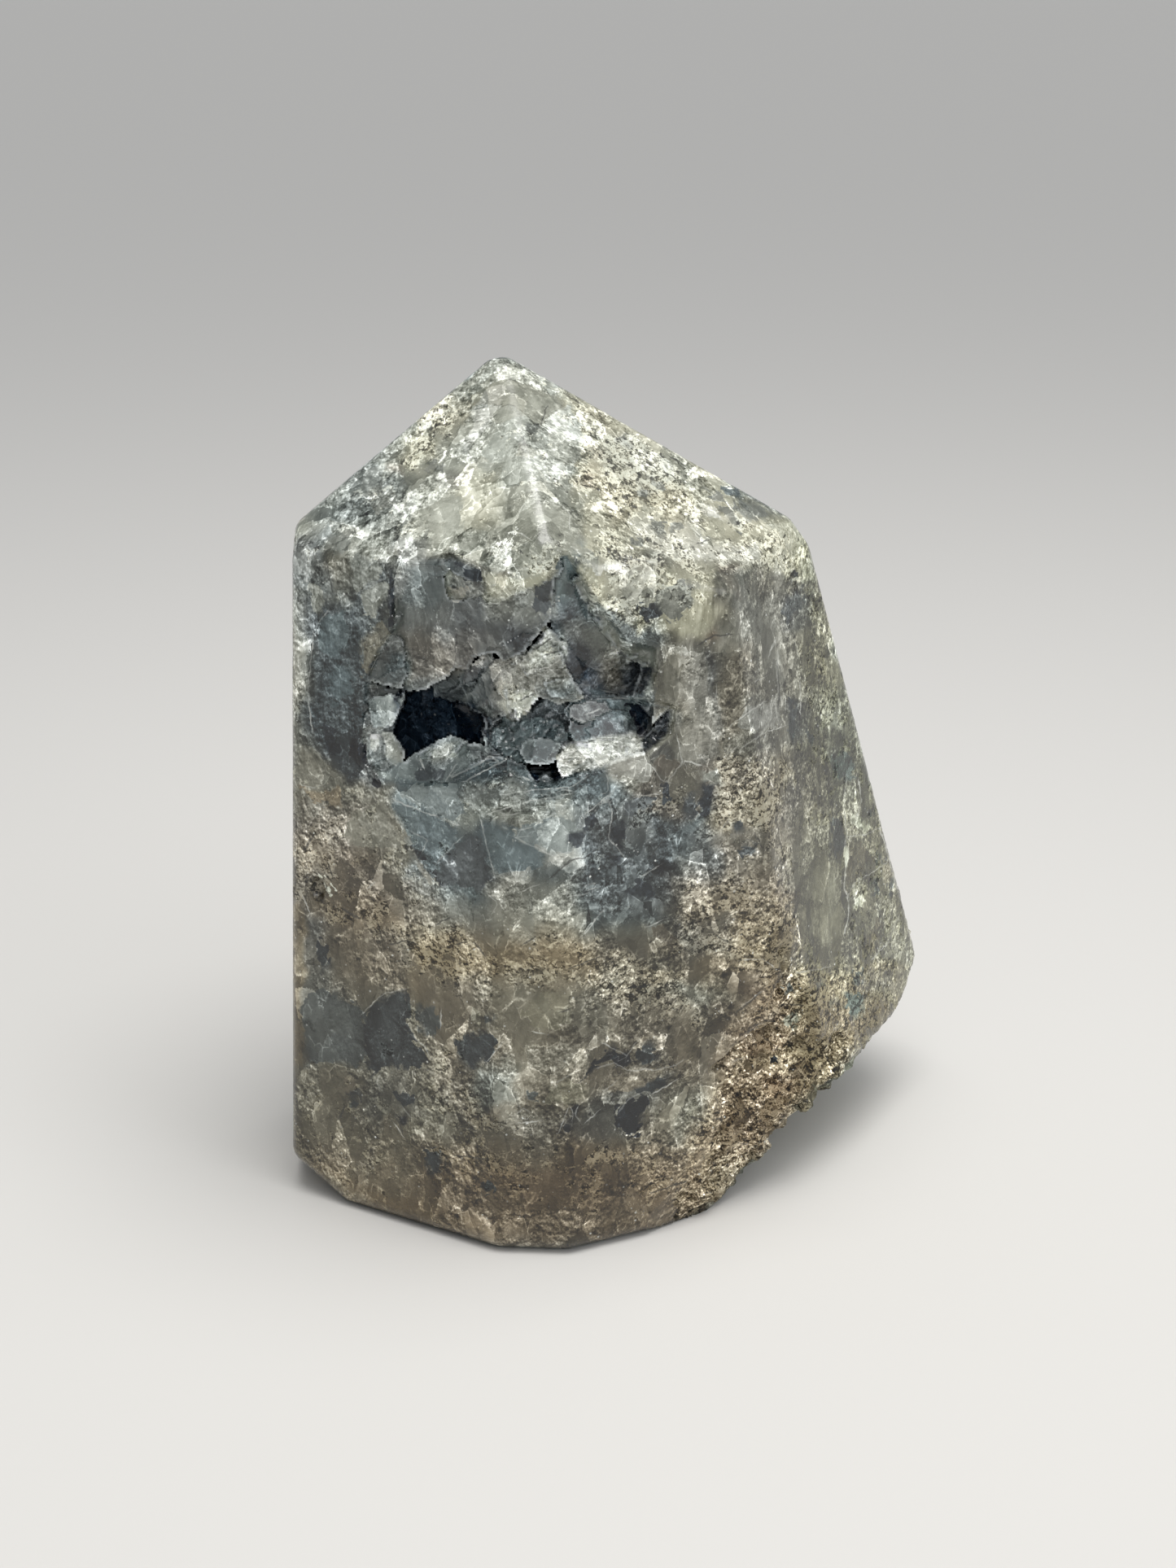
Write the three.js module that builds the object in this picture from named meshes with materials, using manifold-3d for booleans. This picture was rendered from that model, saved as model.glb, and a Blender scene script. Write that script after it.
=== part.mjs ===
// A free-standing celestite point: polished facets round a flat base, a rough broken side at the lower right,
// and an open pocket in the front that is lined with crystals. Millimetres, +Z up, the pocket faces -Y.
import * as THREE from "three";
import { ConvexGeometry } from "three/addons/geometries/ConvexGeometry.js";
import { mergeVertices } from "three/addons/utils/BufferGeometryUtils.js";
import Module from "manifold-3d";

const wasm = await Module();
wasm.setup();

// Driving dimensions of the stone
const APEX = [-19.5, -4, 167.6]; // where the top facets would meet if the tip were sharp
const EDGE_RADIUS = 3.6; // the polished edges are rolled over by this much
const EDGE_STEPS = 3;
const FRONT_REACH = -46.4; // how far forward the front facets stand, at FRONT_HEIGHT
const FRONT_HEIGHT = 40;
const FRONT_LEAN = 1.2; // degrees that the front facets lean back

// Driving dimensions of the rough side
const ROUGH_AIM = [74, -34]; // the bearing and tilt that the break faces
const ROUGH_CENTRE = [52, -4, 26];
const ROUGH_REACH = [66, 74]; // half the width and half the height of the cutter
const ROUGH_STEPS = [42, 48];
const ROUGH_DEPTH = 90; // the cutter is this thick, so it takes away all that lies outside the break
const ROUGH_BLEND = 1.4; // how softly the planes of the break run into each other
const ROUGH_SEED = 31;
const LUMP_SIZE = 17;
const LUMP_HEIGHT = 2.2;
const RIPPLE_SIZE = 7.4;
const RIPPLE_HEIGHT = 0.75;
const BLOCK_SIZE = 9;
const BLOCK_HEIGHT = 2.6;
const BLOCK_TILT = 0.68;

// Driving dimensions of the pocket
const MOUTH_BACK = -30; // the mouth is cut straight back to this depth
const MOUTH_FRONT = -60;
const GAP = 0.3; // between the stone and the crust that lines its pocket
const CRYSTAL_INSET = 0.8; // the crystals end this far behind the polished surface
const MATRIX_INSET = 3.4; // the mass that they grow from ends this far behind it
const DRUSE_SEED = 7;
const DRUSE_LENGTH = [3, 6];
const DRUSE_WIDTH = [2.2, 4.2];
const DRUSE_FLATNESS = 0.7; // a small crystal's thickness, as a share of its width
const DRUSE_LEAN = 0.55; // how far it may lean from the way its bed points
const DRUSE_TURN = 2.4; // radians from one crystal of a bed to the next
const CRYSTAL_SHOULDER = 0.62; // where the chisel end starts, as a share of the length
const CRYSTAL_SIDE = 0.62; // the width of its broad faces, as a share of its whole width
const CRYSTAL_EDGE = 0.45; // the length of the chisel's edge, as a share of the same

// A bearing of 0 faces -Y and 90 faces +X. A tilt of 90 faces straight up.
function facing(bearing, tilt) {
  const b = THREE.MathUtils.degToRad(bearing);
  const t = THREE.MathUtils.degToRad(tilt);
  return new THREE.Vector3(Math.sin(b) * Math.cos(t), -Math.cos(b) * Math.cos(t), Math.sin(t));
}

// A facet is a plane: its outward normal, and its distance from the origin through the given point.
function facet([bearing, tilt, point]) {
  const normal = facing(bearing, tilt);
  return { normal, distance: normal.dot(new THREE.Vector3(...point)) };
}

// A face of the pocket as it is seen from inside, so the open space lies on the side that it faces.
function seenFace([bearing, tilt, point]) {
  const { normal, distance } = facet([bearing, tilt, point]);
  return { normal: normal.negate(), distance: -distance };
}

// The corners of the convex body that the facets bound, each with the facets that meet there.
function cornersOf(facets) {
  const found = [];
  const planes = facets.map(({ normal, distance }) => new THREE.Plane(normal, -distance));
  for (let i = 0; i < facets.length; i++)
    for (let j = i + 1; j < facets.length; j++)
      for (let k = j + 1; k < facets.length; k++) {
        const [a, b, c] = [i, j, k].map((n) => facets[n]);
        const rows = new THREE.Matrix3().set(...a.normal, ...b.normal, ...c.normal);
        if (Math.abs(rows.determinant()) < 1e-5) continue;
        const point = new THREE.Vector3(a.distance, b.distance, c.distance).applyMatrix3(rows.invert());
        if (planes.some((plane) => plane.distanceToPoint(point) > 1e-5)) continue;
        const same = found.find((corner) => corner.point.distanceTo(point) < 1e-4);
        if (same) [i, j, k].forEach((n) => same.on.add(n));
        else found.push({ point, on: new Set([i, j, k]) });
      }
  return found;
}

// A convex body between facets, moved in by the inset and with its edges rolled over to the radius.
function body(facets, inset = 0, radius = 0) {
  const shrunk = facets.map(({ normal, distance }) => ({ normal, distance: distance - inset - radius }));
  const points = [];
  for (const { point, on } of cornersOf(shrunk)) {
    if (!radius) {
      points.push(point);
      continue;
    }
    const normals = [...on].map((n) => shrunk[n].normal);
    const reach = (direction) => points.push(point.clone().addScaledVector(direction.normalize(), radius));
    normals.forEach((normal) => reach(normal.clone()));
    normals.forEach((first, n) =>
      normals.slice(n + 1).forEach((second) => {
        for (let s = 1; s < EDGE_STEPS; s++) reach(first.clone().lerp(second, s / EDGE_STEPS));
      }),
    );
    reach(normals.reduce((sum, normal) => sum.add(normal), new THREE.Vector3()));
  }
  return solid(new ConvexGeometry(points));
}

// Turns a closed three.js geometry into a solid that can be joined and cut.
function solid(geometry) {
  geometry.deleteAttribute("normal");
  geometry.deleteAttribute("uv");
  const merged = mergeVertices(geometry, 1e-4);
  return new wasm.Manifold(
    new wasm.Mesh({
      numProp: 3,
      vertProperties: Float32Array.from(merged.attributes.position.array),
      triVerts: Uint32Array.from(merged.index.array),
    }),
  );
}

// Turns a solid back into a geometry.
function geometryOf(shape) {
  const { vertProperties, triVerts } = shape.getMesh();
  const geometry = new THREE.BufferGeometry();
  geometry.setAttribute("position", new THREE.BufferAttribute(vertProperties, 3));
  geometry.setIndex(new THREE.BufferAttribute(triVerts, 1));
  geometry.computeVertexNormals();
  return geometry;
}

const joined = (solids) => solids.reduce((sum, part) => sum.add(part));
const shard = (points) => solid(new ConvexGeometry(points.map((p) => new THREE.Vector3(...p))));

// A repeatable random number from 0 to 1 for a cell of a grid.
function chance(x, y, z) {
  let h = Math.imul(x, 374761393) ^ Math.imul(y, 668265263) ^ Math.imul(z, 2147483647);
  h = Math.imul(h ^ (h >>> 13), 1274126177);
  return ((h ^ (h >>> 16)) >>> 0) / 4294967296;
}

// Smooth lumps from -1 to 1 over a plane.
function lumps(x, y, salt) {
  const [i, j] = [Math.floor(x), Math.floor(y)];
  const ease = (t) => t * t * (3 - 2 * t);
  const [u, v] = [ease(x - i), ease(y - j)];
  const low = THREE.MathUtils.lerp(chance(i, j, salt), chance(i + 1, j, salt), u);
  const high = THREE.MathUtils.lerp(chance(i, j + 1, salt), chance(i + 1, j + 1, salt), u);
  return 2 * THREE.MathUtils.lerp(low, high, v) - 1;
}

// Broken crystal blocks over a plane: each cell is a flat step with its own height and tilt.
function blocks(x, y) {
  let nearest = { gap: Infinity };
  const roll = (a, b, n) => chance(a, b, ROUGH_SEED + n);
  const [i, j] = [Math.floor(x), Math.floor(y)];
  for (let a = i - 1; a <= i + 1; a++)
    for (let b = j - 1; b <= j + 1; b++) {
      const dx = x - a - roll(a, b, 1);
      const dy = y - b - roll(a, b, 2);
      const gap = Math.abs(dx) + Math.abs(dy);
      if (gap < nearest.gap) nearest = { gap, a, b, dx, dy };
    }
  const { a, b, dx, dy } = nearest;
  const lean = BLOCK_TILT * (dx * (roll(a, b, 3) - 0.5) + dy * (roll(a, b, 4) - 0.5));
  return roll(a, b, 5) - 0.5 + lean;
}

// The polished facets. The front is three narrow facets that turn gently round the nose of the stone.
const front = (bearing, x) => [bearing, FRONT_LEAN, [x, FRONT_REACH, FRONT_HEIGHT]];
const FACETS = {
  frontLeft: front(-29, -20),
  nose: front(-3, -13),
  frontRight: front(24, -6),
  right: [60, 7, [22.4, -31.2, 130]],
  backRight: [130, 22, [68.6, 28, 31]],
  back: [176, 5, [10, 43, 40]],
  backLeft: [-135, 4, [-46, 30, 40]],
  left: [-88, 2.6, [-63, -22, 15]],
  topFrontLeft: [-33, 47, APEX],
  topFrontRight: [46, 52, APEX],
  topBackRight: [140, 48, APEX],
  topBack: [-170, 46, APEX],
  topLeft: [-98, 50, APEX],
  base: [0, -90, [0, 0, 0]],
  footLeft: [-62, -45, [-59.5, -22.6, 5]],
};

// The planes that the rough side follows, from the front edge round to the back.
const ROUGH_PLANES = [
  [34, -3, [31, -29.8, 42]],
  [38, -10, [27.2, -32.8, 22]],
  [58, -1, [50.6, -7, 48]],
  [74, -46, [32, 0, 1]],
  [88, -20, [77, 10, 40]],
  [116, -34, [61, 22, 20]],
];

// The edge of the pocket on the polished front, as X and Z, clockwise from the left.
const MOUTH = [
  [-44.3, 110.2], [-43, 113.8], [-41.3, 118.4], [-38.2, 122.7], [-38.9, 128.5], [-37.2, 133.6], [-32.6, 136.2],
  [-27, 137.2], [-21.6, 136.2], [-14.8, 134.8], [-9.9, 136.4], [-8.2, 139], [-6.4, 138.8], [-4.8, 135.8],
  [-2.1, 130.6], [1, 125.8], [3.7, 121.8], [8.8, 119.8], [9.4, 115.3], [7.8, 110.6], [12.9, 108.2], [12.3, 103],
  [9.1, 100.2], [6.9, 98.8], [0.1, 97.6], [-6.5, 97.2], [-8.8, 95.6], [-14, 95.6], [-16.8, 97.8], [-25.6, 94.3],
  [-36.2, 92.6], [-42.2, 93.4], [-44.9, 95.2], [-45.6, 102.1],
];

// The room behind the mouth, as two overlapping convex bodies.
const ROOM_LEFT = [
  [-27, 0, [-40, -30, 0]], [90, 0, [-10, 0, 0]], [180, 8, [0, -5, 112]], [-80, 0, [-43, -20, 0]],
  [-120, 20, [-38, -12, 110]], [0, 90, [0, 0, 131]], [0, -90, [0, 0, 89.5]], [180, 45, [-25, -12, 126]],
];
const ROOM_RIGHT = [
  [22, 0, [6, -34, 0]], [80, 0, [12.5, -26, 0]], [172, 12, [0, -12, 112]], [-90, 0, [-26, 0, 0]],
  [0, 80, [0, -30, 135.5]], [0, -84, [0, -30, 96.5]], [120, 30, [8, -14, 122]],
];

// The two great crystal faces under the upper rim. They meet in an upright ridge.
const FACE_LEFT = [-14, -13, [-30, -39.2, 134.5]];
const FACE_RIGHT = [40, -10, [-9, -44.3, 136]];
const MOUTH_LIMITS = [[0, -90, [0, 0, 142]], [180, 0, [0, -60, 0]]];

// Open space in the pocket. Every face is a large crystal face, as it is seen from inside.
const OPENINGS = {
  underLeftRim: [FACE_LEFT, [0, 90, [-30, 0, 106]], [-90, 0, [14, 0, 0]], [90, 0, [-47, 0, 0]], ...MOUTH_LIMITS],
  underRightRim: [FACE_RIGHT, [0, 62, [0, -33, 108.8]], [-88, 0, [12, 0, 0]], ...MOUTH_LIMITS],
  lowerRight: [
    [8, 58, [0, -39, 99.6]], [6, 14, [0, -31.5, 105]], [-86, 0, [11.2, 0, 0]], [90, 0, [-12, 0, 0]],
    [0, -90, [0, 0, 116]], [180, 0, [0, -60, 0]],
  ],
  deepHole: [
    [12, 4, [-24, -8.5, 106]], [84, 0, [-38.9, -34, 0]], [-4, 82, [-30, -30, 93.4]], [-20, -60, [-28, -30, 119]],
    [-86, 0, [-10, -20, 0]], [180, 0, [0, -60, 0]],
  ],
  rimRecess: [
    [0, 6, [0, -38.6, 97]], [88, 0, [-14.2, -42, 0]], [-88, 0, [-8.9, -42, 0]], [0, 80, [0, -42, 93.4]],
    [0, -80, [0, -42, 99.6]], [180, 0, [0, -60, 0]],
  ],
  behindWedge: [
    [-16, 8, [-6, -16, 112]], [100, 0, [-26, -20, 0]], [-80, 0, [-3, -28, 0]], [0, 66, [-8, -28, 102]],
    [0, -70, [-8, -30, 117]], [180, 0, [0, -38, 0]],
  ],
};

// The left great face belongs to a slab that hangs over the hole. Its outline, as X and Z, has a broken lower edge.
const SLAB_OUTLINE = [
  [-50, 112], [-43.5, 112.5], [-40.6, 110.8], [-37.8, 109.1], [-34.6, 110.6], [-32.1, 110.2], [-29.8, 113.2],
  [-27.9, 114.2], [-24.2, 115.6], [-23.3, 118.3], [-20.1, 119], [-17.9, 117.6], [-16.2, 118.1], [-13.8, 122.4],
  [-9.6, 125.7], [-6, 128], [-3, 142], [-50, 142],
];
const SLAB_THICKNESS = 6.5;

// Crystals placed by hand, each given by its corners.
const SHARDS = {
  wedge: [
    [-10, -36.8, 123.6], [-21, -37.2, 116.6], [-18.6, -36, 109.4], [-15.6, -38.2, 106.2], [-3.6, -37, 110.4],
    [-12, -24, 121], [-20, -24, 108], [-6, -23, 106],
  ],
  rimBud: [
    [-43.6, -33.2, 108.8], [-40.7, -34.4, 110], [-37.5, -34, 108.9], [-38.2, -34.4, 104.9], [-39.8, -34.2, 103.2],
    [-43.4, -33, 103.4], [-45.4, -29, 107], [-46, -24, 113], [-39, -24, 113], [-46, -24, 101], [-38.6, -24, 101],
  ],
  rimCrystal: [
    [-44.8, -32.4, 102.8], [-40.2, -34.6, 102.7], [-37.6, -34, 97.6], [-37, -36, 93], [-44, -33.2, 93.4],
    [-46, -24, 104], [-38, -22, 96], [-46, -24, 93],
  ],
  floorWedge: [
    [-37.8, -37.2, 98.9], [-29.4, -38, 102.8], [-25, -37, 103.2], [-25.4, -42.6, 94.2], [-36.6, -38.6, 92.8],
    [-26, -28, 100], [-38.4, -28, 97], [-26, -30, 92], [-38, -30, 92],
  ],
  floorBlade: [
    [-28, -41, 97.4], [-19.4, -38.6, 102.6], [-15.2, -41.6, 98.6], [-17, -45, 97], [-25.4, -43, 94.6],
    [-18, -26, 102], [-25, -26, 100],
  ],
  floorStep: [
    [-22.8, -33.4, 109.6], [-15.6, -35, 105.6], [-10, -33.4, 104.8], [-12.8, -39.6, 99.4], [-19.8, -37, 101.6],
    [-12, -22, 106], [-22, -22, 104],
  ],
  sparklingLedge: [
    [-8.6, -44.6, 97.6], [-9.2, -36.4, 101.6], [-3.4, -35.6, 102.4], [7, -35.4, 102.6], [8, -38.8, 99.8],
    [0, -43.4, 97.6], [-6, -26, 100], [8, -26, 100],
  ],
};

// Where the smaller crystals of the crust grow: the middle, the way they point, and how far they spread.
const DRUSE_BEDS = [
  { at: [-29, -13, 107], aim: [4, 10], spread: [8, 6], count: 7 },
  { at: [-37.5, -26, 106], aim: [80, 4], spread: [5, 6], count: 4 },
  { at: [-15, -27, 103.5], aim: [-5, 45], spread: [6, 5], count: 5 },
  { at: [-27, -24, 119], aim: [0, -60], spread: [8, 5], count: 4 },
  { at: [10, -31, 111], aim: [-84, 0], spread: [5, 6], count: 4 },
];

// A pit that reaches the polished surface on the left, with flat crystal faces inside.
const SIDE_PIT = [
  [-58, -26.8, 67.4], [-55.4, -28.1, 73], [-52.6, -29.8, 69.1], [-54.8, -28.7, 64.1], [-54.4, -20.5, 67.8],
];

// A chip of clear crystal that stands out of the rough side, by its corners.
const CHIP = [
  [35.7, -25.5, 24.7], [39.5, -23, 27], [43.9, -19, 22.3], [44.8, -16.5, 17.6], [41.3, -20, 16.5], [36.6, -24.5, 19.4],
  [42.4, -6, 13.9], [41.9, -4, 10.5], [39, -10, 15.1],
];

function polishedBody(inset, radius) {
  return body(Object.values(FACETS).map(facet), inset, radius);
}

// The waste that broke away from the rough side: a slab whose inner face is lumpy and stepped.
function roughWaste() {
  const out = facing(...ROUGH_AIM);
  const across = new THREE.Vector3(-out.y, out.x, 0).normalize();
  const up = out.clone().cross(across);
  const centre = new THREE.Vector3(...ROUGH_CENTRE);
  const planes = ROUGH_PLANES.map(facet);
  const soft = (heights) => {
    const least = Math.min(...heights);
    const sum = heights.reduce((total, h) => total + Math.exp((least - h) / ROUGH_BLEND), 0);
    return least - ROUGH_BLEND * Math.log(sum);
  };
  const innerFace = (u, v) => {
    const start = centre.clone().addScaledVector(across, u).addScaledVector(up, v);
    const heights = planes.map(({ normal, distance }) => (distance - normal.dot(start)) / normal.dot(out));
    const swell = LUMP_HEIGHT * lumps(u / LUMP_SIZE, v / LUMP_SIZE, ROUGH_SEED + 6);
    const ripple = RIPPLE_HEIGHT * lumps(u / RIPPLE_SIZE, v / RIPPLE_SIZE, ROUGH_SEED + 7);
    const step = BLOCK_HEIGHT * blocks(u / BLOCK_SIZE, v / BLOCK_SIZE);
    return start.addScaledVector(out, soft(heights) + swell + ripple + step);
  };
  return gridSlab(ROUGH_REACH, ROUGH_STEPS, innerFace, out.clone().multiplyScalar(ROUGH_DEPTH));
}

// A closed slab: a grid of points, the same grid moved away by the depth, and the walls between.
function gridSlab([reachU, reachV], [stepsU, stepsV], place, depth) {
  const near = [];
  for (let i = 0; i <= stepsU; i++)
    for (let j = 0; j <= stepsV; j++)
      near.push(place(reachU * ((2 * i) / stepsU - 1), reachV * ((2 * j) / stepsV - 1)));
  const middle = near[Math.floor(near.length / 2)];
  const away = depth.clone().normalize();
  const flat = middle.dot(away) + depth.length();
  const far = near.map((p) => p.clone().addScaledVector(away, flat - p.dot(away)));
  const at = (i, j) => i * (stepsV + 1) + j;
  const index = [];
  const quad = (a, b, c, d) => index.push(a, b, c, a, c, d);
  const back = near.length;
  for (let i = 0; i < stepsU; i++)
    for (let j = 0; j < stepsV; j++) {
      quad(at(i, j), at(i, j + 1), at(i + 1, j + 1), at(i + 1, j));
      quad(back + at(i, j), back + at(i + 1, j), back + at(i + 1, j + 1), back + at(i, j + 1));
    }
  for (let i = 0; i < stepsU; i++) {
    quad(at(i, 0), at(i + 1, 0), back + at(i + 1, 0), back + at(i, 0));
    quad(at(i + 1, stepsV), at(i, stepsV), back + at(i, stepsV), back + at(i + 1, stepsV));
  }
  for (let j = 0; j < stepsV; j++) {
    quad(at(0, j + 1), at(0, j), back + at(0, j), back + at(0, j + 1));
    quad(at(stepsU, j), at(stepsU, j + 1), back + at(stepsU, j + 1), back + at(stepsU, j));
  }
  const geometry = new THREE.BufferGeometry();
  geometry.setAttribute("position", new THREE.Float32BufferAttribute([...near, ...far].flatMap((p) => [...p]), 3));
  geometry.setIndex(index);
  return solid(geometry);
}

// The mouth's outline moved inwards, corner by corner.
function shrunkOutline(outline, inset) {
  const points = outline.map(([x, z]) => new THREE.Vector2(x, z));
  return points.map((point, n) => {
    const before = points.at(n - 1);
    const after = points[(n + 1) % points.length];
    const first = point.clone().sub(before).normalize();
    const second = after.clone().sub(point).normalize();
    const inward = new THREE.Vector2(first.y + second.y, -first.x - second.x).normalize();
    const stretch = Math.max(0.5, inward.dot(new THREE.Vector2(first.y, -first.x)));
    return point.clone().addScaledVector(inward, inset / stretch);
  });
}

// An outline of X and Z, cut straight back from the front of the stone.
function cutBack(outline, inset = 0) {
  const shape = new THREE.Shape(shrunkOutline(outline, inset));
  const prism = new THREE.ExtrudeGeometry(shape, { depth: MOUTH_BACK - MOUTH_FRONT, bevelEnabled: false });
  return solid(prism.rotateX(Math.PI / 2).translate(0, MOUTH_BACK - inset, 0));
}

// All the space that the pocket and its crust take, moved in by the inset.
function hollow(inset) {
  return joined([cutBack(MOUTH, inset), body(ROOM_LEFT.map(facet), inset), body(ROOM_RIGHT.map(facet), inset)]);
}

// The slab that hangs over the hole: what lies behind both great faces, as thick as the slab.
function hangingSlab() {
  const [bearing, tilt, point] = FACE_LEFT;
  const back = new THREE.Vector3(...point).addScaledVector(facing(bearing, tilt), -SLAB_THICKNESS);
  const sheet = [FACE_LEFT, FACE_RIGHT, [180 + bearing, -tilt, [...back]], [-90, 0, [-50, 0, 0]], [0, 90, [0, 0, 141]],
    [0, -90, [0, 0, 104]]];
  return cutBack(SLAB_OUTLINE).intersect(body(sheet.map(facet)));
}

// A six-sided crystal with a chisel end. It stands on its middle and points along its aim.
function crystal({ at, aim, turn, width, thick, length }) {
  const half = [width / 2, thick / 2];
  const shoulder = length * CRYSTAL_SHOULDER;
  const points = [];
  for (const z of [-length / 2, shoulder])
    for (const side of [-1, 1]) {
      points.push([side * half[0], 0, z]);
      for (const face of [-1, 1]) points.push([side * half[0] * CRYSTAL_SIDE, face * half[1], z]);
    }
  for (const side of [-1, 1]) points.push([side * half[0] * CRYSTAL_EDGE, 0, length]);
  const tilt = new THREE.Quaternion().setFromUnitVectors(new THREE.Vector3(0, 0, 1), aim);
  const spin = new THREE.Quaternion().setFromAxisAngle(new THREE.Vector3(0, 0, 1), turn);
  const place = new THREE.Matrix4().compose(at, tilt.multiply(spin), new THREE.Vector3(1, 1, 1));
  return shard(points.map((p) => [...new THREE.Vector3(...p).applyMatrix4(place)]));
}

// The smaller crystals of one bed, spread over its wall and leaning a little to all sides.
function druse({ at, aim, spread, count }, bed) {
  const out = facing(...aim);
  const across = new THREE.Vector3(1, 0, 0).cross(out).normalize();
  const along = out.clone().cross(across);
  return Array.from({ length: count }, (_, n) => {
    const roll = (salt) => chance(n + DRUSE_SEED, bed, salt);
    const between = ([low, high], salt) => THREE.MathUtils.lerp(low, high, roll(salt));
    const angle = n * DRUSE_TURN + roll(1);
    const far = Math.sqrt((n + 0.5) / count);
    const place = new THREE.Vector3(...at)
      .addScaledVector(across, spread[1] * far * Math.sin(angle))
      .addScaledVector(along, spread[0] * far * Math.cos(angle));
    const lean = new THREE.Vector3(roll(2) - 0.5, roll(3) - 0.5, roll(4) - 0.5).multiplyScalar(2 * DRUSE_LEAN);
    return crystal({
      at: place,
      aim: out.clone().add(lean).normalize(),
      turn: Math.PI * roll(5),
      width: between(DRUSE_WIDTH, 6),
      thick: between(DRUSE_WIDTH, 7) * DRUSE_FLATNESS,
      length: between(DRUSE_LENGTH, 8),
    });
  });
}

// The largest of a shape's separate bodies, without the splinters that a cut leaves.
function largest(shape) {
  return shape.decompose().sort((a, b) => b.volume() - a.volume())[0];
}

function stoneSolid() {
  const waste = joined([roughWaste(), hollow(0), shard(SIDE_PIT)]);
  return largest(polishedBody(0, EDGE_RADIUS).subtract(waste).add(shard(CHIP)));
}

// The crust: the mass left in the pocket round its open space, with the crystals that grow from it.
function crustSolid() {
  const room = hollow(GAP);
  const open = joined(Object.values(OPENINGS).map((faces) => body(faces.map(seenFace))));
  const mass = room.intersect(polishedBody(MATRIX_INSET, EDGE_RADIUS)).subtract(open);
  const crystals = joined([hangingSlab(), ...Object.values(SHARDS).map(shard), ...DRUSE_BEDS.flatMap(druse)]);
  return largest(mass.add(crystals.intersect(room).intersect(polishedBody(CRYSTAL_INSET, EDGE_RADIUS))));
}

function piece(name, shape, colour, roughness) {
  const material = new THREE.MeshStandardMaterial({ color: colour, roughness, metalness: 0 });
  const mesh = new THREE.Mesh(geometryOf(shape), material);
  mesh.name = name;
  return mesh;
}

const stone = piece("stone", stoneSolid(), "#8f9593", 0.32);
const crust = piece("pocket_crystals", crustSolid(), "#5f6a73", 0.22);

// The part's origin is the middle of its base.
const part = new THREE.Group();
part.add(stone, crust);
const box = new THREE.Box3().setFromObject(part);
const middle = box.getCenter(new THREE.Vector3());
part.position.set(-middle.x, -middle.y, -box.min.z);

export default part;
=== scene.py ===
# %% [markdown]
# A polished celestite point with an open pocket.
# The object is one block of natural crystal that was ground to flat facets and polished. One side stayed rough where
# it broke from the rock, and in the front an open pocket is lined with crystals. This file dresses the exact solids
# of the part with a dense mesh, listed markings and layered materials. Lengths are in metres, as Blender has
# them, and most sizes are written in millimetres times MM.

import math

import bpy
import bmesh
import numpy as np
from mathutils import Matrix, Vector, noise
from mathutils.bvhtree import BVHTree


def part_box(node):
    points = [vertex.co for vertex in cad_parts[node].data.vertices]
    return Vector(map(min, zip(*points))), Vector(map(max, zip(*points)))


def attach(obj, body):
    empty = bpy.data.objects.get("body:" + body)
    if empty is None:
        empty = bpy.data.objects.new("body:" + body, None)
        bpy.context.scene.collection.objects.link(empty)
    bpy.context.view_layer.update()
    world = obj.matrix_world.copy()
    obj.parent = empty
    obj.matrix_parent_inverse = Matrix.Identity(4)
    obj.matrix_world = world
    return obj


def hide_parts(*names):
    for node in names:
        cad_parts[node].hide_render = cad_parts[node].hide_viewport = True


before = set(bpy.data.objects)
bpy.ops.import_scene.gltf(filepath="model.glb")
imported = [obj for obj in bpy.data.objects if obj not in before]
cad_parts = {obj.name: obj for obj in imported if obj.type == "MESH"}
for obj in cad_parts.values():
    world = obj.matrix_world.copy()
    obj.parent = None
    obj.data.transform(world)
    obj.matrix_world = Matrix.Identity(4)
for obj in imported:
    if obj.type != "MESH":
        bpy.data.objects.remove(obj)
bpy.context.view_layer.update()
MM = 0.001

# %% [markdown]
# The camera stands where the photographer stood, a little above the stone and 20 degrees down. The lens is given by
# its focal length in pixels of the photograph, because every marking further down is placed in those pixels too.

# %% Camera
PHOTO_SIZE = (1445, 1927)
FOCAL_PIXELS = 2671.0
CAMERA_PLACE = np.array([-5.3, -412.7, 230.0]) * MM
CAMERA_PITCH = math.radians(20)
SENSOR = 36.0

camera = bpy.data.objects.new("camera", bpy.data.cameras.new("camera"))
bpy.context.scene.collection.objects.link(camera)
camera.location = CAMERA_PLACE
camera.rotation_euler = (math.radians(90) - CAMERA_PITCH, 0, 0)
camera.data.sensor_width = SENSOR
camera.data.lens = FOCAL_PIXELS / PHOTO_SIZE[1] * SENSOR
camera.data.clip_start, camera.data.clip_end = 0.01, 100
bpy.context.scene.camera = camera

AHEAD = np.array([0, math.cos(CAMERA_PITCH), -math.sin(CAMERA_PITCH)])
ABOVE = np.array([0, math.sin(CAMERA_PITCH), math.cos(CAMERA_PITCH)])


def photo_pixels(points):
    """Where points in metres show in the photograph, as columns of x and y pixels."""
    away = points - CAMERA_PLACE
    depth = away @ AHEAD
    x = PHOTO_SIZE[0] / 2 + FOCAL_PIXELS * away[:, 0] / depth
    y = PHOTO_SIZE[1] / 2 - FOCAL_PIXELS * (away @ ABOVE) / depth
    return np.stack([x, y], 1)


print("lens mm:", round(camera.data.lens, 2))

# %% [markdown]
# Stone like this is lit best from above by a wide soft sky: the sloping top facets turn bright, the upright front
# stays calm, and the pocket keeps its dark. A soft lamp overhead gives the polish something to mirror, and a weak one
# from the right lifts that side, as in the photograph.

# %% Light and floor
FLOOR_SIZE = 400.0
SKY_SOFTNESS = math.radians(70)
scene = bpy.context.scene


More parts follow.
